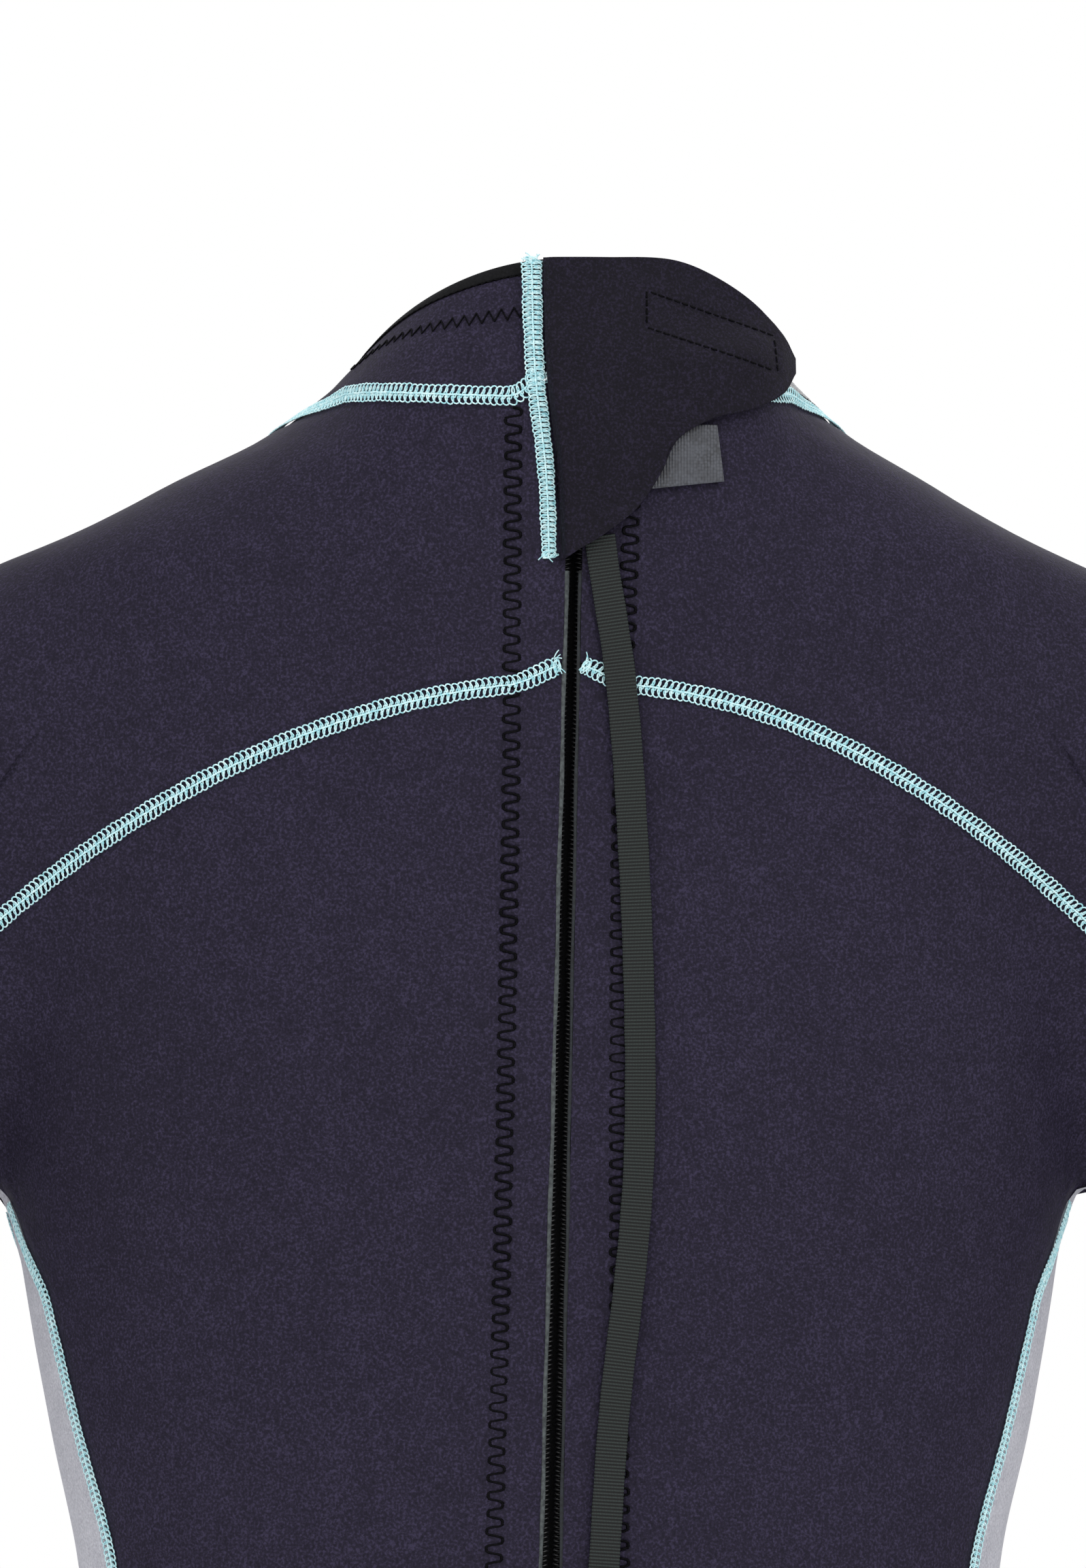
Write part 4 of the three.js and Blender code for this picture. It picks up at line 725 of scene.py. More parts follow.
def refine(name, new_name, look, cuts, rim_look=None, levels=(0.0, -FOAM)):
    """A finer copy of a panel's solid: its faces are cut up and drawn on to the form, at their own depths."""
    bm = copy_of(name, 0.02)
    bmesh.ops.dissolve_limit(bm, angle_limit=0.0001, verts=[], edges=[])
    bmesh.ops.join_triangles(bm, faces=bm.faces, angle_face_threshold=0.9, angle_shape_threshold=1.2,
                             cmp_seam=False)
    before = places(bm)
    depth = suit_form(before)
    if name == "front_panel":
        # Its solid rises at the middle of the neck as the back does; the cut is level there.
        rise = NECK_RISE * (1 - ramp(9, 22, np.abs(before[:, 0]))) * (1 - ramp(10, 60, -42 - before[:, 2]))
        put(bm.verts, before - rise[:, None] * np.array([0, 0, 1]))
    layer = bm.verts.layers.float.new("depth")
    for v, d in zip(bm.verts, depth):
        v[layer] = 0.0 if d > sum(levels) / 2 else 1.0
    long_edges = [e for e in bm.edges if e.calc_length() > FOAM + 1.5]
    bmesh.ops.subdivide_edges(bm, edges=long_edges, cuts=cuts, use_grid_fill=True)
    share = np.array([v[layer] for v in bm.verts])
    settled = upright(places(bm))
    for _ in range(5):
        s = slope_of(body, settled)
        goal = levels[0] + (levels[1] - levels[0]) * share
        settled += s * ((goal - body(settled)) / np.maximum((s * s).sum(1), 0.04))[:, None]
    outward = normals_of(body, settled)
    top = share < 0.5
    settled[top] += outward[top] * relief(leaned(settled[top]))[:, None]
    put(bm.verts, leaned(settled))
    if rim_look:
        for f in bm.faces:
            f.material_index = len({v[layer] > 0.5 for v in f.verts}) - 1
    obj = piece(new_name, bm, look, "suit", (name,), (rim_look,) if rim_look else ())
    for face in obj.data.polygons:
        face.use_smooth = face.material_index == 0 if rim_look else True
    return obj


FINE, PLAIN = 8, 4
for side in ("right", "left"):
    refine(f"back_panel_{side}", f"neoprene_back_{side}", navy, FINE, foam_edge)
    refine(f"shoulder_panel_{side}", f"neoprene_shoulder_{side}", navy, FINE, foam_edge)
    refine(f"side_panel_{side}", f"neoprene_side_{side}", grey, FINE)
    refine(f"sleeve_panel_{side}", f"neoprene_sleeve_{side}", navy, PLAIN)
    refine(f"underarm_panel_{side}", f"neoprene_underarm_{side}", grey, PLAIN)
    refine(f"leg_back_{side}", f"neoprene_leg_back_{side}", navy, PLAIN)
    refine(f"leg_front_{side}", f"neoprene_leg_front_{side}", navy, PLAIN)
    refine(f"leg_side_{side}", f"neoprene_leg_side_{side}", grey, PLAIN)
refine("front_panel", "neoprene_front", navy, PLAIN)

# ---- Tubes of thread -------------------------------------------------------------------------------------------


def tube(bm, path, radius, sides=4, flat=1.0, up=None):
    """Adds a tube round a path of points. Where up is given, flat is how much thinner it is along up."""
    path = np.asarray(path, float)
    n = len(path)
    way = np.gradient(path, axis=0)
    way /= np.maximum(np.linalg.norm(way, axis=1), 1e-9)[:, None]
    ref = np.broadcast_to(np.array([0.31, 0.87, 0.39]) if up is None else np.asarray(up, float), (n, 3))
    side = np.cross(way, ref)
    side /= np.maximum(np.linalg.norm(side, axis=1), 1e-9)[:, None]
    rise = np.cross(side, way)
    radius = np.broadcast_to(np.asarray(radius, float), (n,))[:, None]
    turns = 2 * math.pi * np.arange(sides + 1) / sides
    rings = [path + radius * (math.cos(a) * side + math.sin(a) * flat * rise) for a in turns]
    points = np.stack(rings, axis=1).reshape(-1, 3)
    made = bmesh.ops.create_grid(bm, x_segments=sides, y_segments=n - 1, size=1)["verts"]
    put(made, points)
    return made


def closed_up(bm, gap=0.01):
    """Joins the tubes' long edges, fills their ends and turns their faces outwards."""
    bmesh.ops.remove_doubles(bm, verts=bm.verts, dist=gap)
    holes = [e for e in bm.edges if e.is_boundary]
    bmesh.ops.holes_fill(bm, edges=holes, sides=24)
    bmesh.ops.recalc_face_normals(bm, faces=bm.faces)


def measured(line, step, start=0.0, end=0.0):
    """A polyline cut again into even steps, without its first and last millimetres."""
    run = np.concatenate([[0], np.cumsum(np.linalg.norm(np.diff(line, axis=0), axis=1))])
    at = np.arange(start, run[-1] - end, step)
    return np.stack([np.interp(at, run, line[:, k]) for k in range(3)], axis=1), at - at[0]


def frame_of(line, field):
    """Which way is across a line of stitching, and which way is out of the fabric."""
    out = normals_of(field, line)
    return unit(np.cross(out, unit(np.gradient(line, axis=0)))), out


def flatlock(name, line, field, start, end, replaced, half=3.0, pitch=STITCH, points=12, level=0.25,
             tails=(False, False), seed=1, rungs=False, taper=(1, 1)):
    """Flatlock stitching on a line: two rows of slanting loops with a core thread and a cover thread between."""
    rng = np.random.default_rng(seed)
    centre, run = measured(line, pitch / points, start, end)
    across, out = frame_of(centre, field)
    half = half * (taper[0] + (taper[1] - taper[0]) * run / run[-1])
    turn = 2 * math.pi * run / pitch
    bm = bmesh.new()
    wander = 0.12 * np.sin(run * 0.37 + seed) + 0.07 * np.sin(run * 1.31 + 2 * seed)
    swell = 1 + 0.06 * np.sin(run * 0.9 + seed)
    for row in (-1, 1):
        reach = row * (half * 0.58 + wander) + row * swell * half * 0.42 * np.cos(turn)
        slide = 0.36 * pitch * np.sin(turn) + 0.22 * (reach - row * half * 0.58) * row
        up = level + 0.30 + 0.16 * np.cos(turn + 0.9)
        path = centre + across * reach[:, None] + np.cross(across, out) * slide[:, None] + out * up[:, None]
        tube(bm, path, THREAD, 4)
    # The looper thread goes from side to side once a stitch, under the loops.
    weave = half * 0.34 * np.sin(turn)
    if rungs:
        weave = half * 0.86 * np.tanh(2.4 * np.sin(turn))
    tube(bm, centre + across * weave[:, None] + out * (level + 0.1 + 0.08 * np.cos(2 * turn))[:, None],
         THREAD * 0.9, 4)
    core, core_run = measured(line, pitch, start, end)
    core_across, core_out = frame_of(core, field)
    tube(bm, core + core_out * (level + 0.34) + core_across * (0.1 * np.sin(core_run * 2.1))[:, None], 0.34, 5)
    for at, wanted in ((0, tails[0]), (-1, tails[1])):
        if not wanted:
            continue
        tip, side, up = core[at], core_across[at], core_out[at]
        lead = unit(tip - core[2 if at == 0 else -3])
        for _ in range(7):
            begin = tip + side * rng.uniform(-2.8, 2.8) + up * (level + 0.4)
            bend = lead * rng.uniform(0.4, 2.6) + side * rng.uniform(-2.6, 2.6) + up * rng.uniform(0.0, 0.5)
            curl = side * rng.uniform(-1.4, 1.4) + up * rng.uniform(0, 0.5)
            t = np.linspace(0, 1, 7)[:, None]
            tube(bm, begin + bend * t + curl * np.sin(math.pi * t), 0.2, 4)
        knot = np.linspace(0, 4 * math.pi, 30)[:, None]
        ball = tip + side * np.cos(knot) * 1.9 + lead * np.sin(knot * 0.9) * 1.2 + up * (level + 0.5)
        tube(bm, ball + up * 0.2 * np.sin(knot * 1.7), THREAD, 4)
    closed_up(bm)
    return piece(name, bm, cyan_thread, "suit", replaced)


def both_flatlocks(name, right, start, end, replaced, **extra):
    for side, line in (("right", right), ("left", mirrored(right))):
        flatlock(f"{name}_{side}", leaned(line), suit_form, start, end, (f"{replaced}_{side}",),
                 seed=len(name) + (side == "left"), **extra)


# ---- The leash ------------------------------------------------------------------------------------------------

# The zip's own frame: across it, into the back, and up along it.
down = unit(np.array([-LEAN, -ZIP_SLOPE, -1]))
zip_across = unit(np.cross([0, -1, ZIP_SLOPE], down))
zip_in = np.cross(zip_across, down)
zip_top = np.array([float(lean_by(np.array([0.0]), np.array([0.0]))[0]), zip_depth(0), 0.0])


def by_zip(x, y, z):
    """A place x across, y into and z up from the top of the zip."""
    x, y, z = np.broadcast_arrays(np.asarray(x, float), y, z)
    return zip_top + x[..., None] * zip_across + y[..., None] * zip_in - z[..., None] * down


LEASH_ROUTE = np.array([
    (8.1, -45.6), (9.7, -56), (12.3, -70), (15.4, -88), (18.4, -113), (20.6, -138), (22.9, -170), (24.6, -203),
    (25.3, -226), (25.3, -250), (24.3, -272), (22.4, -295), (20.2, -317), (18.6, -340), (16.9, -382),
    (15, -420), (13.6, -465), (13.2, -520), (13.8, -580), (15, -640), (15.6, -696)])
LEASH_WIDTH, LEASH_THICK, LEASH_OUT, SEAT_ROOM = 10.0, 1.2, -2.35, 3.2


def leash_line(z):
    x = along(LEASH_ROUTE[:, ::-1], z)
    return by_zip(x, LEASH_OUT - SEAT_ROOM * ramp(500, 640, -z), z)


def make_leash():
    """Returns the webbing, its length, and points of its middle line."""
    fine = leash_line(np.linspace(-45.6, -696, 900))
    line, run = measured(fine, RIB / 4)
    way = unit(np.gradient(line, axis=0))
    side = unit(np.cross(way, zip_in))
    out = np.cross(side, way)
    rib = np.abs(np.sin(math.pi * run / RIB)) ** 0.7
    half = LEASH_WIDTH / 2 - 0.12 + 0.08 * np.sin(run / 3.1) + 0.16 * rib
    thick = LEASH_THICK / 2 - 0.26 + 0.26 * rib
    sides = 14
    bm = bmesh.new()
    u = bm.verts.layers.float.new("u")
    lay = bm.loops.layers.uv.new("lay")
    made = bmesh.ops.create_grid(bm, x_segments=sides, y_segments=len(line) - 1, size=1)["verts"]
    angles = 2 * math.pi * np.arange(sides + 1) / sides
    c, s = np.cos(angles), np.sin(angles)
    wide = np.sign(c) * np.abs(c) ** 0.35
    deep = np.sign(s) * np.abs(s) ** 0.55
    rings = line[:, None] + side[:, None] * (half[:, None] * wide)[..., None] \
        + out[:, None] * (thick[:, None] * deep)[..., None]
    for k, (v, p) in enumerate(zip(made, rings.reshape(-1, 3))):
        v.co = p
        v[u] = wide[k % (sides + 1)] * half[k // (sides + 1)]
    way_along = {v: run[k // (sides + 1)] for k, v in enumerate(made)}
    for face in bm.faces:
        for loop in face.loops:
            loop[lay].uv = (loop.vert[u], way_along[loop.vert])
    closed_up(bm)
    length = np.linalg.norm(np.diff(fine, axis=0), axis=1).sum()
    return piece("leash_webbing", bm, webbing, "zip_pull", ("zip_leash",)), length, fine[::29]


leash, leash_length, leash_path = make_leash()


def softened(name, new_name, look, body_name, bevel, segments=2):
    """A copy of a solid with its edges rounded."""
    bm = copy_of(name, 0.005)
    bmesh.ops.dissolve_limit(bm, angle_limit=0.02, verts=bm.verts, edges=bm.edges)
    edges = [e for e in bm.edges if len(e.link_faces) == 2 and e.calc_face_angle(0) > 0.5]
    bmesh.ops.bevel(bm, geom=edges, offset=bevel, segments=segments, profile=0.5, affect="EDGES", material=-1,
                    clamp_overlap=True)
    bmesh.ops.recalc_face_normals(bm, faces=bm.faces)
    obj = piece(new_name, bm, look, body_name, (name,))
    obj.data.set_sharp_from_angle(angle=math.radians(50))
    return obj


leash_tip = softened("leash_end", "leash_end_moulded", trim, "zip_pull", 0.7, 3)

# ---- Stitching that shows ---------------------------------------------------------------------------------------

both_flatlocks("stitch_arch", arch, 1.0, 3.0, "arch_seam", tails=(True, False))
both_flatlocks("stitch_side_back", side_back, 2.0, 1.0, "side_back_seam")
both_flatlocks("stitch_side_front", side_front, 6.0, 1.0, "side_front_seam", points=8)
both_flatlocks("stitch_raglan", raglan, 4.0, 4.0, "raglan_seam", points=8)
both_flatlocks("stitch_leg", leg_back, 1.0, 2.0, "leg_back_seam", points=8)
flatlock("stitch_neck", leaned(neck), suit_form, 0.8, 0.8, ("neck_seam",), level=0.5, tails=(True, True), seed=5)

flap_line_z = np.linspace(-53, 44, 200)
flap_line = from_behind(along(FLAP_SEAM, flap_line_z) - 3.7, flap_line_z, cover)
flatlock("stitch_flap", flap_line[::-1], cover, 0, 0, ("flap_seam",), half=3.0, pitch=1.7, tails=(True, True), seed=8,
         rungs=True, taper=(1.12, 0.78))


def zip_across_at(z):
    """Where the middle of the zip lies at a height."""
    return lean_by(0 * z, z)


# Height, and how far beside the zip the row of stitches runs.
BESIDE_LEFT = [(0, -20.8), (-85, -19.4), (-130, -18.6), (-270, -18), (-382, -18.3), (-560, -18.3)]
BESIDE_RIGHT = [(0, 18.5), (-60, 18), (-130, 17), (-200, 17.8), (-270, 19.3), (-382, 22.5), (-560, 23)]


def beside_zip(row, z, step):
    """A row's middle line in even steps: its points, how far along they are, and which way is across and out."""
    line, run = measured(from_behind(zip_across_at(z) + along(row, z), z, suit_form), step)
    return (line, run) + frame_of(line, suit_form)


def serpent_wave(run, seed):
    """How far to the side a serpentine stitch has gone, in a wave with square shoulders."""
    return 2.5 * np.tanh(2.6 * np.sin(2 * math.pi * run / SERPENT)) * (1 + 0.06 * np.sin(run * 0.31 + seed))


def serpentine(name, row, top, bottom, seed):
    """Thick black zigzag stitching beside the zip: two threads laid round each other in a square wave."""
    line, run, across, out = beside_zip(row, np.linspace(top, bottom, 2600)[::20], 0.34)
    wave = serpent_wave(run, seed)
    bm = bmesh.new()
    for phase in (0, math.pi):
        twist = 2 * math.pi * run / 1.5 + phase
        sideways, up = wave + 0.22 * np.sin(twist), 0.22 + 0.2 * np.cos(twist)
        path = line + across * sideways[:, None] + out * up[:, None]
        tube(bm, path, 0.4, 5)
    closed_up(bm)
    return piece(name, bm, black_thread)


def puckered(name, row, top, bottom, seed):
    """The strip of fabric that the serpentine stitch draws up: its edges sink into the panel beside it."""
    line, run, across, out = beside_zip(row, np.linspace(top, bottom, 120), 0.55)
    w = np.linspace(-4.6, 4.6, 21)
    wave = serpent_wave(run, seed)
    steep = np.gradient(wave, run)
    off = np.abs(w[None, :] - wave[:, None]) / np.sqrt(1 + steep ** 2)[:, None]
    swell = 0.75 + 0.25 * np.sin(math.pi * run / SERPENT + 1)[:, None]
    pillow = 0.42 * ramp(4.6, 2.6, np.abs(w))[None, :] * swell
    level = -0.32 * ramp(3.4, 4.6, np.abs(w))[None, :] + pillow - 0.62 * np.exp(-((off / 0.75) ** 2))
    points = line[:, None] + across[:, None] * w[None, :, None] + out[:, None] * level[..., None]
    bm = bmesh.new()
    put(bmesh.ops.create_grid(bm, x_segments=len(w) - 1, y_segments=len(line) - 1, size=1)["verts"],
        points.reshape(-1, 3))
    bm.normal_update()
    if np.mean([f.normal.y for f in bm.faces]) > 0:
        bmesh.ops.reverse_faces(bm, faces=bm.faces)
    return piece(name, bm, navy)


def round_bead(name, path, look, radius):
    """A round bead along a line: cement in the butt joint between two panels, or the lining at a cut edge."""
    bm = bmesh.new()
    tube(bm, path, radius, 6)
    closed_up(bm)
    return piece(name, bm, look)


# From the waist in front, between the legs, and up the seat.
sweep = np.linspace(math.radians(2), math.radians(178), 200)
rise_way = np.stack([0 * sweep, np.cos(sweep), -np.sin(sweep)], axis=1)
crotch = leaned(ray(body, np.tile([0, 0, HIP_SEAM], (200, 1)), rise_way, -1.5, 1, 300))
round_bead("glued_crotch_joint", crotch, lining_edge_black_and_painted_shade, 1.1 + 1.1 * ramp(-660, -610, crotch[:, 2]))
round_bead("glued_neck_joint", leaned(neck - 1.7 * normals_of(body, neck)), lining_edge_black_and_painted_shade, 1.3)


def slit_edge(name, sign, look, radius):
    """The lining that turns out a little along the cut edge of the slit."""
    z = np.linspace(-57, ZIP_BOTTOM + 3, 260)
    x = zip_across_at(z) + sign * (slit_half(z) - 0.15 + 0.12 * np.sin(z / 9.0))
    return round_bead(name, from_behind(x, z, suit_form, -0.15), look, radius * (1 + 0.12 * np.sin(z / 5.3)))


# The left lip is coloured lighter as a painted highlight and the right lip darker as painted shade; both are the same
# lining.
slit_edge("slit_edge_left", -1, lining_edge_painted_lit, 0.75)
slit_edge("slit_edge_right", 1, lining_edge_black_and_painted_shade, 0.6)
puckered("neoprene_pucker_left", BESIDE_LEFT, -4, ZIP_BOTTOM - 4, 1)
puckered("neoprene_pucker_right", BESIDE_RIGHT, -34, ZIP_BOTTOM - 4, 2)
serpentine("stitch_zip_left", BESIDE_LEFT, -4, ZIP_BOTTOM - 4, 1)
serpentine("stitch_zip_right", BESIDE_RIGHT, -34, ZIP_BOTTOM - 4, 2)

# ---- Collar ------------------------------------------------------------------------------------------------------


def collar_points(turns, shares, out=0.0):
    """Points of the collar: shares go from the neck seam up to the top edge, out is along its normal."""
    turns, shares = np.broadcast_arrays(turns, shares)
    shape, turns, shares = turns.shape, turns.ravel(), shares.ravel()

    def bare(turns, shares):
        c, s = np.cos(turns), np.sin(turns)
        x = np.where(np.abs(s) * NECK_HALF < SLIT, np.where(turns < math.pi, SLIT, -SLIT), NECK_HALF * s)
        y, z = on_neck(c, x)
        foot = leaned(settle(np.stack([x, y, z], axis=1)))
        opened = 1 - ramp(0, 0.6, np.abs(s))
        edge = np.where(turns < math.pi, SLIT, -SLIT) + 2
        top = np.stack([
            COLLAR_X + COLLAR_HALF * s + opened * edge * (c > 0),
            COLLAR_Y - np.where(c > 0, COLLAR_BACK, COLLAR_FRONT) * c, collar_height(c)], axis=1)
        return foot + (top - foot) * shares[:, None]

    here = bare(turns, shares)
    over = bare(turns + 0.004, shares) - bare(turns - 0.004, shares)
    rise = bare(turns, shares + 0.02) - bare(turns, shares - 0.02)
    foot_blend = ramp(0.3, 0, shares)[:, None]
    normal = unit(unit(np.cross(over, rise)) * (1 - foot_blend) + normals_of(suit_form, here) * foot_blend)
    return (here + normal * np.broadcast_to(out, here.shape[:1])[:, None]).reshape(shape + (3,))


def collar_wall(name, look, low, high, rows, replaced, outer, inner, turns):
    shares = np.linspace(low, high, rows)[:, None]
    t = turns[None, :]
    a = collar_points(t, shares, np.broadcast_to(outer(t, shares), (rows, len(turns))).ravel())
    b = collar_points(t, shares, np.broadcast_to(inner(t, shares), (rows, len(turns))).ravel())
    return piece(name, wall_of(a.reshape(-1, 3), b.reshape(-1, 3), rows, len(turns)), look, "suit", replaced)


ring = np.radians(np.linspace(1.7, 358.3, 280))
HEM_SHARE = 0.905  # where the turned edge begins


def band_relief(t, share):
    slow = 0.25 * np.sin(5 * t + 4 * share) * np.sin(3.1 * share * math.pi)
    dent = -0.35 * np.exp(-(((share - HEM_SHARE) * 50 / 1.4) ** 2)) - 0.3 * np.exp(-((share * 40 / 3) ** 2))
    return slow + dent + 0 * t


collar_wall("collar_neoprene", navy, 0.012, HEM_SHARE - 0.006, 22, ("collar_band",), band_relief,
            lambda t, s: -COLLAR_THICK, ring)
collar_wall("collar_turned_edge", trim, HEM_SHARE + 0.006, 1.0, 9, ("collar_hem",),
            lambda t, s: 0.25 * np.sin(math.pi * (s - HEM_SHARE) / (1 - HEM_SHARE)) + 0 * t,
            lambda t, s: -COLLAR_THICK - 0.1 + 0 * t + 0 * s, ring)


def band_stitches(name, turns_from, turns_to, share, height, pitch, radius, lift):
    t = np.radians(np.linspace(turns_from, turns_to, 1200))
    line = collar_points(t, share + 0 * t, lift + 0 * t)
    run = np.concatenate([[0], np.cumsum(np.linalg.norm(np.diff(line, axis=0), axis=1))])
    wave = 2 * np.abs(2 * ((run / pitch) % 1) - 1) - 1
    points = collar_points(t, share + height * wave / 44, lift + 0 * t)
    bm = bmesh.new()
    tube(bm, points, radius, 4)
    closed_up(bm, 0.005)
    return piece(name, bm, black_thread)


band_stitches("stitch_collar_zigzag", 352, 296, 0.62, 2.0, 4.2, 0.28, 0.28)
band_stitches("stitch_collar_edge", 357, 200, HEM_SHARE, 0.25, 2.6, 0.2, 0.12)

# ---- Collar flap ---------------------------------------------------------------------------------------------------

FLAP_LOW = [(5, -54), (11, -50), (18.4, -45.6), (29.6, -36.7), (37.3, -25.6), (43, -14.4), (54, -7.8), (67.3, -4.4),
            (78, 1), (82.5, 8)]
FLAP_HIGH = [(-0.4, 45), (20, 45), (40, 44.6), (52, 41), (67, 32), (78, 21), (82.5, 13)]


def flap_lift(x, z):
    from_seam = x - along(FLAP_SEAM, z)
    risen = ramp(0, 2.2, from_seam)
    over_zip = np.exp(-(((x - lean_by(0 * z, z) - 3) / 15) ** 2)) * (1 - ramp(-8, 8, z))
    return 0.4 + (FLAP_LIFT - 0.4) * risen + 1.4 * over_zip * risen + 6 * ramp(48, 84, x)


def outline_at(corners, shares):
    pts = np.array([(x, 0, z) for x, z in corners], float)
    run = np.concatenate([[0], np.cumsum(np.linalg.norm(np.diff(pts, axis=0), axis=1))])
    at = shares * run[-1]
    rows = np.stack([run, pts[:, 0], pts[:, 2]], axis=1)
    return along(rows, at, 1), along(rows, at, 2)


PATCH = [(33, 22), (76, 8), (75, 20), (33, 34)]


def from_patch(x, z):
    """Distance from the outline of the hook patch."""
    near = np.full(np.shape(x), 1e9)
    for (ax, az), (bx, bz) in zip(PATCH, PATCH[1:] + PATCH[:1]):
        dx, dz = bx - ax, bz - az
        t = np.clip(((x - ax) * dx + (z - az) * dz) / (dx * dx + dz * dz), 0, 1)
        near = np.minimum(near, np.hypot(x - ax - dx * t, z - az - dz * t))
    return near


def flap_relief(x, z):
    near = from_patch(x, z)
    waves = 0.22 * np.sin(x / 7.1 + z / 9.3) * np.sin(z / 8.2 - x / 15) * ramp(4, 16, x)
    pucker = -0.42 * np.exp(-((near / 1.3) ** 2)) * (0.75 + 0.25 * np.sin(2.4 * (x + z)))
    return waves + pucker + 0.14 * np.exp(-(((near - 2.6) / 1.5) ** 2))


def make_flap():
    rows, columns = 44, 110
    shares = np.linspace(0, 1, columns) ** 1.1
    low, high = outline_at(FLAP_LOW, shares), outline_at(FLAP_HIGH, shares)
    v = np.linspace(0, 1, rows)[:, None]
    x, z = low[0] + (high[0] - low[0]) * v, low[1] + (high[1] - low[1]) * v
    x[:, 0] = along(FLAP_SEAM, z[:, 0])
    x, z = x.ravel(), z.ravel()
    lift = flap_lift(x, z)
    outer = from_behind(x, z, cover, lift + FLAP_THICK + flap_relief(x, z))
    inner = from_behind(x, z, cover, lift)
    bm = wall_of(outer, inner, rows, columns, 0.5)
    # Its jersey is the navy coloured darker, as painted shade.
    return piece("collar_flap_neoprene", bm, navy_painted_shade_flap, None, ("collar_flap",))


flap = make_flap()
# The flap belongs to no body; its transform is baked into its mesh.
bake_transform(flap)


def strip_on(name, look, corners, rows, columns, low, high, body_name, replaced, rim=0.2):
    v, u = np.linspace(0, 1, rows)[:, None], np.linspace(0, 1, columns)[None, :]
    a, b, c, d = [np.array(p, float) for p in corners]
    place = [(a[k] + (b[k] - a[k]) * u) * (1 - v) + (d[k] + (c[k] - d[k]) * u) * v for k in (0, 1)]
    x, z = place[0].ravel(), place[1].ravel()
    outer = from_behind(x, z, cover, high(x, z))
    inner = from_behind(x, z, cover, low(x, z))
    return piece(name, wall_of(outer, inner, rows, columns, rim), look, body_name, replaced)


strip_on("hook_patch_woven", hook_nylon, PATCH, 14, 46, lambda x, z: flap_lift(x, z) - 1.8,
         lambda x, z: flap_lift(x, z) - 0.8, "collar_flap", ("hook_patch",))
strip_on("keeper_tab_woven", hook_nylon, [(34.5, -30.4), (58, -28), (55.8, -9.6), (38, -9.2)], 26, 30,
         lambda x, z: FLAP_LIFT - 1.5 + 0.5 * ramp(48, 58, x),
         lambda x, z: FLAP_LIFT - 0.4 + 0.5 * ramp(48, 58, x) + 0.06 * np.sin(x * 4.2), "collar_flap",
         ("keeper_tab",), 0.15)


def make_dashes():
    """The hook patch is sewn on through the flap, so its stitches show as black dashes."""
    bm = bmesh.new()
    for (ax, az), (bx, bz) in zip(PATCH, PATCH[1:] + PATCH[:1]):
        length = math.hypot(bx - ax, bz - az)
        for k in range(int(length / 2.7)):
            t = np.linspace(k * 2.7 + 0.4, k * 2.7 + 2.3, 6) / length
            x, z = ax + (bx - ax) * t, az + (bz - az) * t
            level = flap_lift(x, z) + FLAP_THICK + flap_relief(x, z)
            arc = 0.22 * np.sin(np.linspace(0, math.pi, 6))
            tube(bm, from_behind(x, z, cover, level + arc), 0.36, 4)
    closed_up(bm, 0.005)
    return piece("stitch_hook_patch", bm, black_thread, "collar_flap")


make_dashes()


def make_loop_patch():
    shares = np.linspace(0.165, 0.755, 24)[:, None]
    turns = np.radians(np.linspace(21, 75.5, 64))[None, :]
    rng = np.random.default_rng(4)
    fuzz = rng.uniform(-0.12, 0.12, (24, 64)).ravel()
    a = collar_points(turns, shares, 1.2 + fuzz)
    b = collar_points(turns, shares, np.full(24 * 64, 0.3))
    return piece("loop_patch_woven", wall_of(a.reshape(-1, 3), b.reshape(-1, 3), 24, 64, 0.2), hook_nylon, "suit",
                 ("loop_patch",))


make_loop_patch()

# ---- Zip ----------------------------------------------------------------------------------------------------------

COIL_DEEP, COIL_THICK = 4.75, 2.2
ZIP_LENGTH = 560 / abs(down[2])


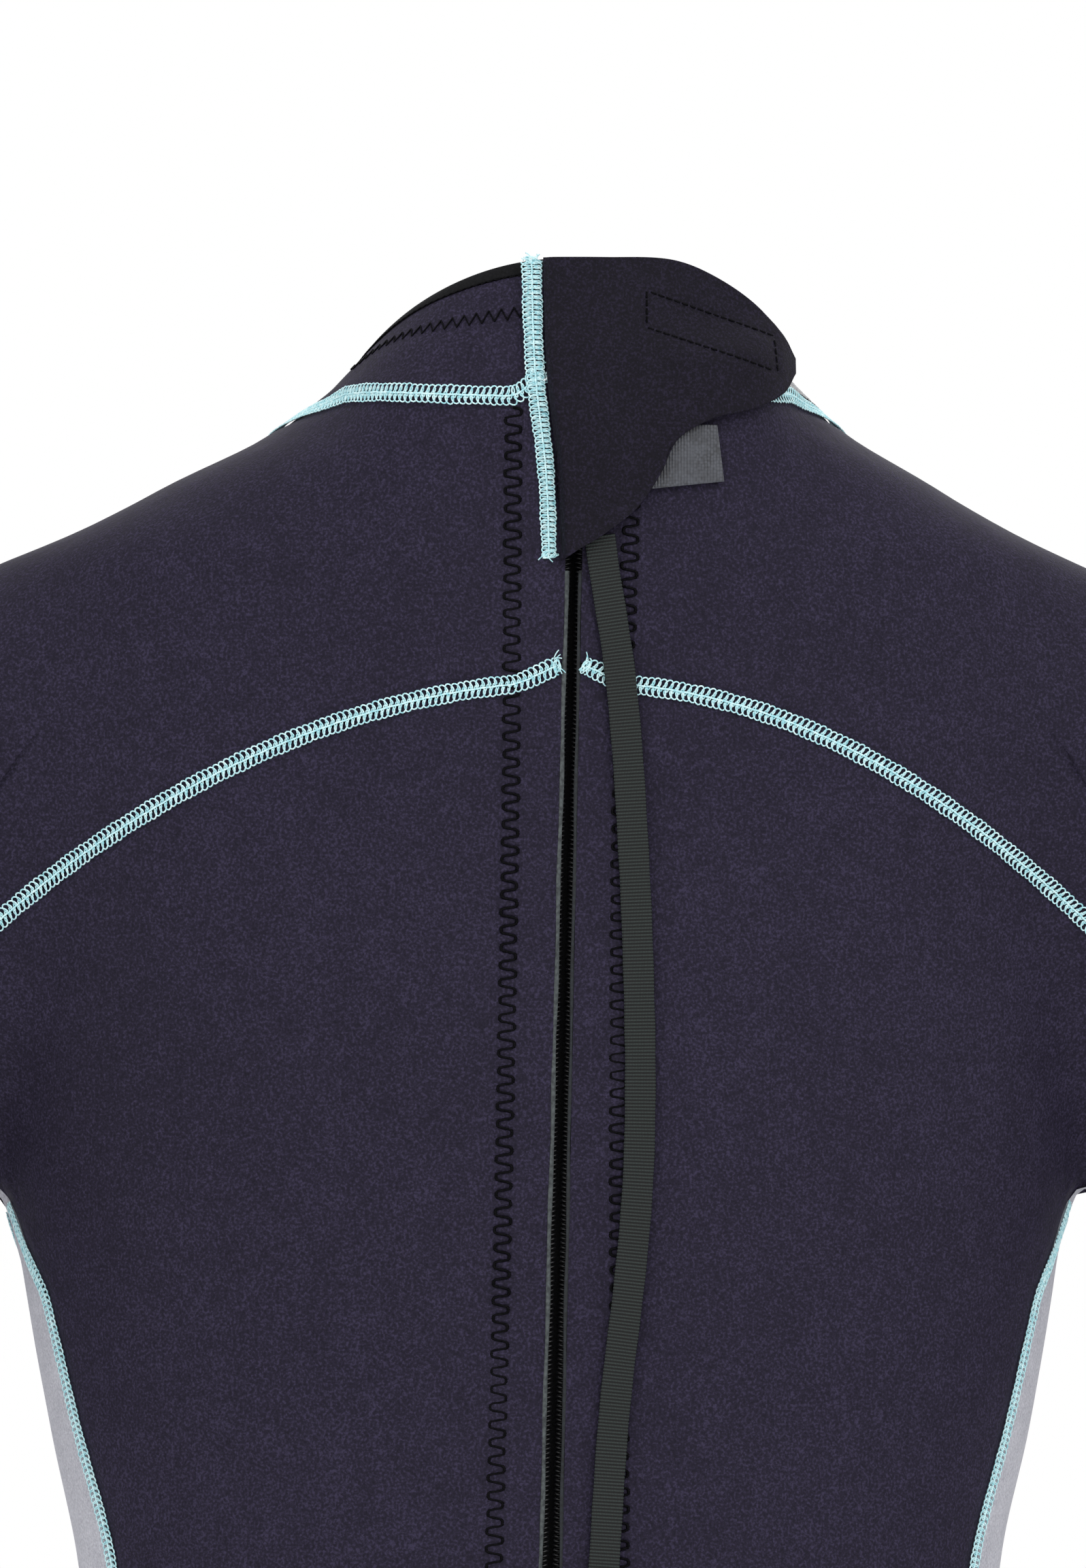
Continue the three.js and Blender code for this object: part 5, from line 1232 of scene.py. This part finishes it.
def make_coil(side, sign):
    """One half of the coil: a nylon filament wound flat, whose turns mesh with the other half's."""
    pitch, points = 1.5, 12
    length = ZIP_LENGTH - 6.4 - 8
    turn = np.linspace(0, 2 * math.pi * length / pitch, int(length / pitch) * points)
    x = sign * (2.2 + 1.4 * np.cos(turn))
    y = COIL_DEEP + COIL_THICK / 2 + 0.72 * np.sin(turn)
    z = -8 - turn * pitch / (2 * math.pi) - (0.75 if sign < 0 else 0) * 0.5
    bm = bmesh.new()
    tube(bm, by_zip(x, y, z), 0.36, 5)
    closed_up(bm)
    return piece(f"coil_filament_{side}", bm, coil_nylon, "suit", (f"zip_coil_{side}",))


for side, sign in (("right", 1), ("left", -1)):
    make_coil(side, sign)
    softened(f"zip_tape_{side}", f"zip_tape_woven_{side}", tape_cloth, "suit", 0.2)
softened("zip_guard", "zip_guard_neoprene", trim, "suit", 0.45)
softened("zip_bottom_stop", "zip_bottom_stop_cast", zinc, "suit", 0.5, 3)
softened("zip_slider", "zip_slider_cast", zinc, "zip_slider", 0.22, 2)
softened("zip_pull_tab", "zip_pull_tab_cast", zinc, "zip_pull", 0.2, 2)

# ---- Seals and knee pads ---------------------------------------------------------------------------------------------

for side in ("right", "left"):
    refine(f"wrist_seal_{side}", f"wrist_seal_smooth_{side}", trim, PLAIN, levels=(-0.5, -2.5))
    refine(f"ankle_seal_{side}", f"ankle_seal_smooth_{side}", trim, PLAIN, levels=(-0.5, -2.5))
    refine(f"knee_pad_{side}", f"knee_pad_printed_{side}", trim, PLAIN, levels=(2.4, 0.8))

# ---- Floor ---------------------------------------------------------------------------------------------------------

FLOOR = -1.4215  # metres, just under the ankle seals
ground = bmesh.new()
bmesh.ops.create_grid(ground, x_segments=2, y_segments=2, size=6)
for v in ground.verts:
    v.co.z = FLOOR
floor_mesh = bpy.data.meshes.new("floor")
ground.to_mesh(floor_mesh)
ground.free()
floor_mesh.materials.append(floor_material())
floor = bpy.data.objects.new("floor", floor_mesh)
bpy.context.scene.collection.objects.link(floor)

bpy.context.view_layer.update()
